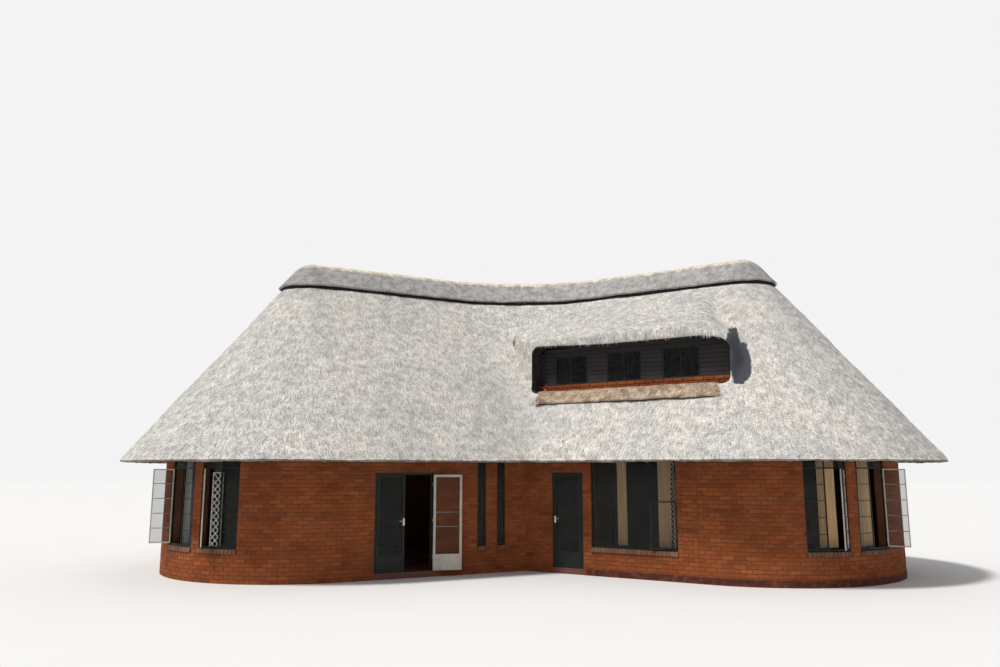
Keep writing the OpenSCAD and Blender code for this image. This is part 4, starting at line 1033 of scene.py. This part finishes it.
def block_mesh(name, side, rows, out, bevel=BRICK_BEVEL, fall=0.0, path=wall_at):
    """One mesh of blocks with bevelled faces on a wall: rows are start, end, foot, top, depth."""
    u0, u1, z0, z1, deep = np.array(rows, float).T
    count = len(u0)
    u = np.stack([u0, u1, u1, u0] * 2 + [u0 + bevel, u1 - bevel, u1 - bevel, u0 + bevel], 1)
    z = np.stack([z0, z0, z1, z1] * 2 + [z0 + bevel, z0 + bevel, z1 - bevel, z1 - bevel], 1)
    z[:, BLOCK_TOP] -= fall
    proud = out + rng.uniform(-0.0015, 0.0015, count)
    d = np.stack([-deep] * 4 + [proud - bevel] * 4 + [proud] * 4, 1)
    x, y, out_x, out_y = path(u)
    points = np.stack([x + out_x * d, y + out_y * d, z], 2).reshape(-1, 3)
    faces = (BLOCK[None] + 12 * np.arange(count)[:, None, None]).reshape(-1, 4)
    slow = smooth_noise(np.stack([u0, z0, 0 * u0 + side], 1), 0.9)
    tone = np.clip(0.5 + 0.13 * rng.standard_normal(count) + 0.22 * slow, 0, 1)
    return make_mesh(name, side, points, faces, tone=np.repeat(tone, 12))


def brick_finish(name, dark, middle, light):
    """Fired clay: each brick has a tone of its own, with specks and stains across them."""
    finish = Finish(name, Roughness=0.88, Specular_IOR_Level=0.15)
    grain = finish.spots(70, 4.0)
    colour = finish.ramp(finish.attribute("tone"), (0.1, dark), (0.5, middle), (0.95, light))
    colour = finish.shade(colour, grain, (0.30, 0.62), (0.5, 0.98), (0.72, 1.16))
    colour = finish.shade(colour, finish.spots(1.7, 4.0), (0.32, 0.72), (0.6, 1.0))
    return finish.done(colour, finish.bump(finish.mix(0.5, grain, finish.spots(260)), 0.004, 0.6))


def mortar_finish():
    """Red-brown mortar with sand in it."""
    finish = Finish("mortar", Roughness=0.95, Specular_IOR_Level=0.15)
    sand = finish.spots(150)
    colour = finish.ramp(sand, (0.35, (0.11, 0.046, 0.024)), (0.65, (0.21, 0.100, 0.055)))
    colour = finish.shade(colour, finish.spots(2.3, 4.0), (0.3, 0.75), (0.7, 1.1))
    return finish.done(colour, finish.bump(sand, 0.003, 0.7))


def plinth_finish():
    """Dark red paint over brickwork, scuffed and dusty near the ground."""
    finish = Finish("plinth_paint", Roughness=0.75, Specular_IOR_Level=0.2)
    colour = finish.ramp(finish.spots(9, 6.0), (0.35, (0.055, 0.015, 0.009)),
                         (0.55, (0.090, 0.025, 0.014)), (0.72, (0.16, 0.060, 0.036)))
    colour = finish.shade(colour, finish.place()["Z"], (0.0, 1.35), (0.06, 1.0))
    return finish.done(colour, finish.bump(finish.spots(55, 5.0), 0.006, 0.7))


def cement_finish(name, colour):
    """Polished coloured cement, worn in patches."""
    finish = Finish(name, Roughness=0.5)
    dark = tuple(0.7 * c for c in colour)
    pale = tuple(min(1, 1.35 * c + 0.01) for c in colour)
    worn = finish.ramp(finish.spots(1.3, 5.0), (0.3, dark), (0.55, colour), (0.75, pale))
    sheen = finish.ramp(finish.spots(3.1), (0.3, 0.38), (0.7, 0.62))
    return finish.done(worn, finish.bump(finish.spots(90), 0.002, 0.4), sheen)


def build_wall(side, face_brick, sill_brick, mortar):
    """A wing's bricks, and its sills."""
    word, spans = SIDES[side], windows(side)
    door, door_w = (DOOR_AT, DOOR_W) if side == RIGHT else (FRENCH_AT, FRENCH_W)
    holes = [(a, b, sill - SILL_H, WINDOW_HEAD, True) for a, b, sill in spans]
    holes.append((door, door + door_w, 0, DOOR_HEAD, False))
    if side == RIGHT:
        holes.append((PLUMB_JOINT_AT, PLUMB_JOINT_AT + PLUMB_JOINT_W, 0, WALL_TOP, False))
    laid = lay_bricks(WALL_LEN, 0.0, WALL_TOP, holes)
    dress(block_mesh(word + "_bricks", side, laid, BRICK_PROUD), [face_brick], "brick")
    sills, beds = lay_sills(spans)
    rowlock = block_mesh(word + "_sill_bricks", side, sills, SILL_OUT + SILL_LIP, fall=SILL_FALL)
    dress(rowlock, [sill_brick], "brick", "window_sills")
    bed = block_mesh(word + "_sill_bed", side, beds, SILL_OUT - BRICK_PROUD, fall=BED_FALL)
    dress(bed, [mortar], "brick", "window_sills")


def build_brickwork():
    face_brick = brick_finish("face_brick", (0.185, 0.046, 0.015), (0.275, 0.073, 0.022),
                              (0.35, 0.108, 0.036))
    sill_brick = brick_finish("sill_brick", (0.12, 0.058, 0.038), (0.19, 0.095, 0.062),
                              (0.27, 0.145, 0.095))
    mortar = mortar_finish()
    coat(("_wall", "_walls", "_piers"), mortar)
    coat("right_plinth", plinth_finish())
    coat("floor_slab", cement_finish("red_cement", (0.13, 0.040, 0.024)))
    coat("loft_floor", cement_finish("grey_cement", (0.22, 0.21, 0.20)))
    for side in SIDES:
        build_wall(side, face_brick, sill_brick, mortar)
    foot = lay_bricks(DORMER_W, DORMER_SILL - 3 * COURSE, DORMER_SILL + 0.002, [])
    knee = block_mesh("dormer_bricks", RIGHT, [b[:4] + (FOOT_PROUD,) for b in foot], BRICK_PROUD,
                      path=dormer_foot_at)
    dress(knee, [face_brick], "brick")


# Doors, windows, boards and woodwork

RAIL_Z, RAIL_R, RAIL_IN, ROUND_RAIL_IN = 2.66, 0.012, 0.06, 0.02
CURTAIN_LIFT = 0.04
CURTAINS = {"thin": (0.52, 0.23), "full": (1.48, 0.48)}
ROUND_CURTAINS = {LEFT: (0.18, 0.24), RIGHT: (-0.02, 0.40)}
FOLD_W, FOLD_COLUMNS, CLOTH_ROWS = 0.078, 14, 26
FRENCH_OPEN = math.radians(165)
FIRST_OPEN, SECOND_OPEN, WIDE_OPEN = math.radians(50), math.radians(120), math.radians(14)
FACING = 0.5  # a face is on a leaf's outer side when it looks that way by more than this
BOARD_H, BOARD_GAP, BOARD_PROUD, BOARD_DEPTH = DORMER_WIN_H / 7, 0.006, 0.006, 0.03
BOARD_ROWS = 10


def paint_finish(name, dark, colour, rough):
    """Brushed gloss paint on steel, dulled and a little dusty in patches."""
    finish = Finish(name, Roughness=rough, Specular_IOR_Level=0.3)
    dull = finish.spots(5.0, 5.0)
    brush = finish.spots(40, 4.0, (1.0, 1.0, 0.15))
    painted = finish.shade(finish.ramp(dull, (0.3, dark), (0.62, colour)), brush, (0.3, 0.86),
                           (0.7, 1.08))
    gloss = finish.ramp(dull, (0.3, rough * 0.75), (0.7, min(1.0, rough * 1.5)))
    return finish.done(painted, finish.bump(brush, 0.0012, 0.35), gloss)


def glass_finish(name, alpha):
    """Thin window glass: dark and glossy, a little dusty, and see-through."""
    finish = Finish(name, Alpha=alpha, IOR=1.45)
    film = finish.spots(2.5, 4.0)
    colour = finish.ramp(film, (0.35, (0.006, 0.009, 0.008)), (0.7, (0.018, 0.022, 0.020)))
    return finish.done(colour, roughness=finish.ramp(film, (0.35, 0.03), (0.75, 0.10)))


def metal_finish(name, colour, rough):
    """Bright metal with fine scuffs."""
    finish = Finish(name, Metallic=1.0)
    scuff = finish.spots(60, 4.0, (1.0, 1.0, 0.2))
    dark = tuple(0.72 * c for c in colour)
    return finish.done(finish.ramp(scuff, (0.3, dark), (0.65, colour)),
                       finish.bump(scuff, 0.0006, 0.3),
                       finish.ramp(scuff, (0.3, rough * 1.4), (0.7, rough)))


def wood_finish(name, dark, light, stretch):
    """Wood with its grain along one direction: stretch is small along it."""
    finish = Finish(name, Roughness=0.7)
    grain = finish.spots(26, 5.0, stretch, rough=0.7)
    colour = finish.ramp(grain, (0.30, dark), (0.70, light))
    colour = finish.shade(colour, finish.spots(2.2), (0.3, 0.70), (0.7, 1.1))
    return finish.done(colour, finish.bump(grain, 0.003, 0.5))


def board_finish():
    """Dark stained boards, each a little different."""
    finish = Finish("stained_boards", Roughness=0.62)
    grain = finish.spots(34, 5.0, (0.12, 0.12, 1.0), rough=0.7)
    colour = finish.ramp(finish.attribute("tone"), (0.1, (0.009, 0.007, 0.007)),
                         (0.6, (0.015, 0.011, 0.011)), (1.0, (0.026, 0.018, 0.017)))
    colour = finish.shade(colour, grain, (0.3, 0.62), (0.7, 1.2))
    return finish.done(colour, finish.bump(grain, 0.002, 0.5))


def cloth_finish(name, base, light, patterned=False):
    """Cotton with a fine weave. The patterned one has a plain band of dark checks down one edge."""
    finish = Finish(name, Roughness=0.92, Sheen_Weight=0.1)
    place = finish.place("UV")
    colour = finish.ramp(finish.spots(7, 3.0, (1.0, 0.2, 1.0), uv=True), (0.3, base), (0.7, light))
    if patterned:
        checks = finish.node("TexChecker", {"Vector": finish.coords.outputs["UV"], "Scale": 19.0,
                                            "Color1": (0.055, 0.030, 0.022),
                                            "Color2": (0.62, 0.55, 0.42)}).outputs["Color"]
        start = finish.math("GREATER_THAN", place["X"], 0.42)
        end = finish.math("LESS_THAN", place["X"], 0.56)
        colour = finish.mix(finish.math("MULTIPLY", start, end), colour, checks)
    weft, warp = (finish.math("SINE", finish.math("MULTIPLY", place[way], 2400.0)) for way in "XY")
    return finish.done(colour, finish.bump(finish.math("MULTIPLY", weft, warp), 0.0006, 0.25))


def sided_copy(node, body, slot, face_of, finishes):
    """A copy of a steel leaf that is painted green outside and cream inside.

    face_of gives, for the middles of its faces, each one's outward direction and whether its narrow
    edges are green.
    """
    mesh = nodes[node].data.copy()
    count = len(mesh.polygons)
    normal, centre = np.empty(3 * count), np.empty(3 * count)
    mesh.polygons.foreach_get("normal", normal)
    mesh.polygons.foreach_get("center", centre)
    out, green_edges = face_of(centre.reshape(-1, 3))
    level = (normal.reshape(-1, 3) * out).sum(1)
    green = (level > FACING) | ((np.abs(level) <= FACING) & green_edges)
    mesh.materials.clear()
    piece = link(node + "_painted", mesh)
    dress(piece, finishes, slot, node, body=body)
    set_finishes(piece, ~green)


def turned(side, angle):
    """The outward direction of a leaf that stands at an angle in a wing's frame."""
    ends = to_row(side, [(math.sin(angle), -math.cos(angle), 0), (0, 0, 0)])
    return ends[0] - ends[1]


def casement_sides(side):
    """Finds which leaf of a wing a face belongs to, by the nearest hinge in plan."""
    hinges, outs = [], []
    for k, opened in enumerate((FIRST_OPEN, SECOND_OPEN)):
        a = window_turn(side, k)
        edge = a + ROUND_HALF
        hinges.append((FRONT + END_R * math.sin(edge), END_R - END_R * math.cos(edge), 0))
        outs.append(turned(side, a + opened))
    if side == RIGHT:
        hinges.append((WIDE_AT + WIDE_W, 0.04, 0))
        outs.append(turned(side, WIDE_OPEN))
    places = to_row(side, hinges)

    def face_of(centres):
        nearest = ((centres[:, None, :2] - places[None, :, :2]) ** 2).sum(2).argmin(1)
        return np.array(outs)[nearest], nearest == 2
    return face_of


def cloth_grid(start, across, width, foot, seed):
    """Points of a curtain in folds, along a direction from a start, and its UV along and up it.

    The folds deepen downwards, differ in size, and lean a little out of step with each other.
    """
    folds = max(3, round(width / FOLD_W))
    u = np.linspace(0, 1, folds * FOLD_COLUMNS + 1)[:, None]
    v = np.linspace(0, 1, CLOTH_ROWS)[None]
    shift = np.random.default_rng(seed).normal(0, 0.35, folds + 1)
    phase = 2 * np.pi * folds * u + np.interp(u, np.linspace(0, 1, folds + 1), shift) * (0.4 + v)
    size = (0.011 + 0.013 * v ** 0.6) * (1 + 0.25 * np.sin(3.1 * u * folds + seed))
    away = size * np.sin(phase) + 0.004 * np.sin(2 * phase + 3 * v)
    along = width * (u + 0.012 * np.sin(phase * 0.5 + 4 * v)) + 0 * v
    drop = foot + (RAIL_Z - RAIL_R - foot) * (1 - v) + 0 * u
    x = start[0] + along * across[0] - away * across[1]
    y = start[1] + along * across[1] + away * across[0]
    points = np.stack([x, y, drop], 2)
    return points, way_along(points), drop - foot


def hung_cloth(name, side, start, across, width, foot, finish, seed):
    """A curtain that hangs from its rail, gathered to a width."""
    cloth = grid_mesh(name, side, *cloth_grid(start, across, width, foot, seed))
    dress(cloth, [finish], "curtain_cloth", "curtains")


def build_curtains():
    plain = cloth_finish("cream_cotton", (0.80, 0.54, 0.28), (0.92, 0.68, 0.40))
    banded = cloth_finish("banded_cotton", (0.80, 0.53, 0.29), (0.92, 0.67, 0.41), patterned=True)
    grey = cloth_finish("grey_cotton", (0.26, 0.29, 0.26), (0.38, 0.41, 0.36))
    dark = cloth_finish("dark_cotton", (0.06, 0.065, 0.06), (0.10, 0.105, 0.095))
    cloths = {"thin": (plain, 5), "full": (banded, 3)}
    for word, (at, width) in CURTAINS.items():
        hung_cloth(word + "_curtain", RIGHT, (WIDE_AT + at, WALL_T + RAIL_IN), (1.0, 0.0), width,
                   FRONT_SILL + CURTAIN_LIFT, *cloths[word])
    cloths = {(RIGHT, 0): plain, (RIGHT, 1): plain, (LEFT, 0): dark, (LEFT, 1): grey}
    rail_y = -(END_R - WALL_T - RAIL_IN - ROUND_RAIL_IN)
    for side, (at, width) in ROUND_CURTAINS.items():
        for k in (0, 1):
            c, s = math.cos(window_turn(side, k)), math.sin(window_turn(side, k))
            start = (FRONT + at * c - rail_y * s, END_R + at * s + rail_y * c)
            hung_cloth("%s_curtain_%d" % (SIDES[side], k + 1), side, start, (c, s), width,
                       ROUND_SILL + CURTAIN_LIFT, cloths[side, k], 11 + 2 * k)


def build_boards():
    """Horizontal boards between, beside and above the dormer's windows."""
    starts = [DORMER_WIN_AT + k * DORMER_WIN_STEP - DORMER_WIN_W / 2 for k in range(3)]
    edges = [DORMER_AT] + [e for x in starts for e in (x, x + DORMER_WIN_W)] + [DORMER_END]
    rows = []
    for k in range(BOARD_ROWS):
        low = DORMER_SILL + k * BOARD_H
        high = min(low + BOARD_H - BOARD_GAP, DORMER_HEAD - 0.01)
        if high - low < 0.02:
            continue
        past = max(0, high - DORMER_HEAD + DORMER_ROUND)
        inset = DORMER_ROUND - math.sqrt(DORMER_ROUND ** 2 - past ** 2)
        spans = zip(edges[::2], edges[1::2])
        if low > DORMER_SILL + DORMER_WIN_H - 0.01:
            spans = [(DORMER_AT + inset, DORMER_END - inset)]
        rows += [(a + 0.002, b - 0.002, low, high, BOARD_DEPTH) for a, b in spans]
    boards = block_mesh("dormer_cladding", RIGHT, rows, BOARD_PROUD, bevel=0.003,
                        path=dormer_wall_at)
    dress(boards, [board_finish()], "dark_boards", "dormer_boards")


def build_joinery():
    green = paint_finish("green_paint", (0.004, 0.008, 0.006), (0.008, 0.015, 0.011), 0.40)
    cream = paint_finish("cream_paint", (0.42, 0.39, 0.33), (0.55, 0.52, 0.45), 0.42)
    white = paint_finish("white_paint", (0.60, 0.60, 0.56), (0.78, 0.78, 0.74), 0.45)
    poles = wood_finish("peeled_poles", (0.10, 0.062, 0.036), (0.24, 0.16, 0.10), (1.0, 1.0, 0.25))
    plates = wood_finish("sawn_plates", (0.12, 0.075, 0.045), (0.26, 0.18, 0.11), (0.15, 0.15, 1.0))
    coat(("_frames", "_frame"), green)
    coat("window_lattice", white)
    coat("_glass", glass_finish("window_glass", 0.24))
    coat("french_right_glass", glass_finish("clear_glass", 0.12))
    coat(("_handle", "_rails"), metal_finish("bright_steel", (0.72, 0.72, 0.70), 0.28))
    coat("_rafters", poles)
    coat("_plates", plates)
    for node, body, side, angle, green_edges in (
            ("french_left_leaf", "french_left_door", LEFT, 0.0, True),
            ("french_right_leaf", "french_right_door", LEFT, -FRENCH_OPEN, False),
            ("door_leaf", "single_door", RIGHT, 0.0, True)):
        sides = turned(side, angle), green_edges
        sided_copy(node, body, "green_steel", lambda centres: sides, (green, cream))
    for side, word in SIDES.items():
        sided_copy(word + "_casements", "house", "cream_steel", casement_sides(side), (green, cream))
    build_curtains()
    build_boards()


add_camera()
add_floor()
add_world()
add_key_light()
build_brickwork()
build_thatch()
build_joinery()
bpy.context.scene.view_settings.view_transform = "Standard"
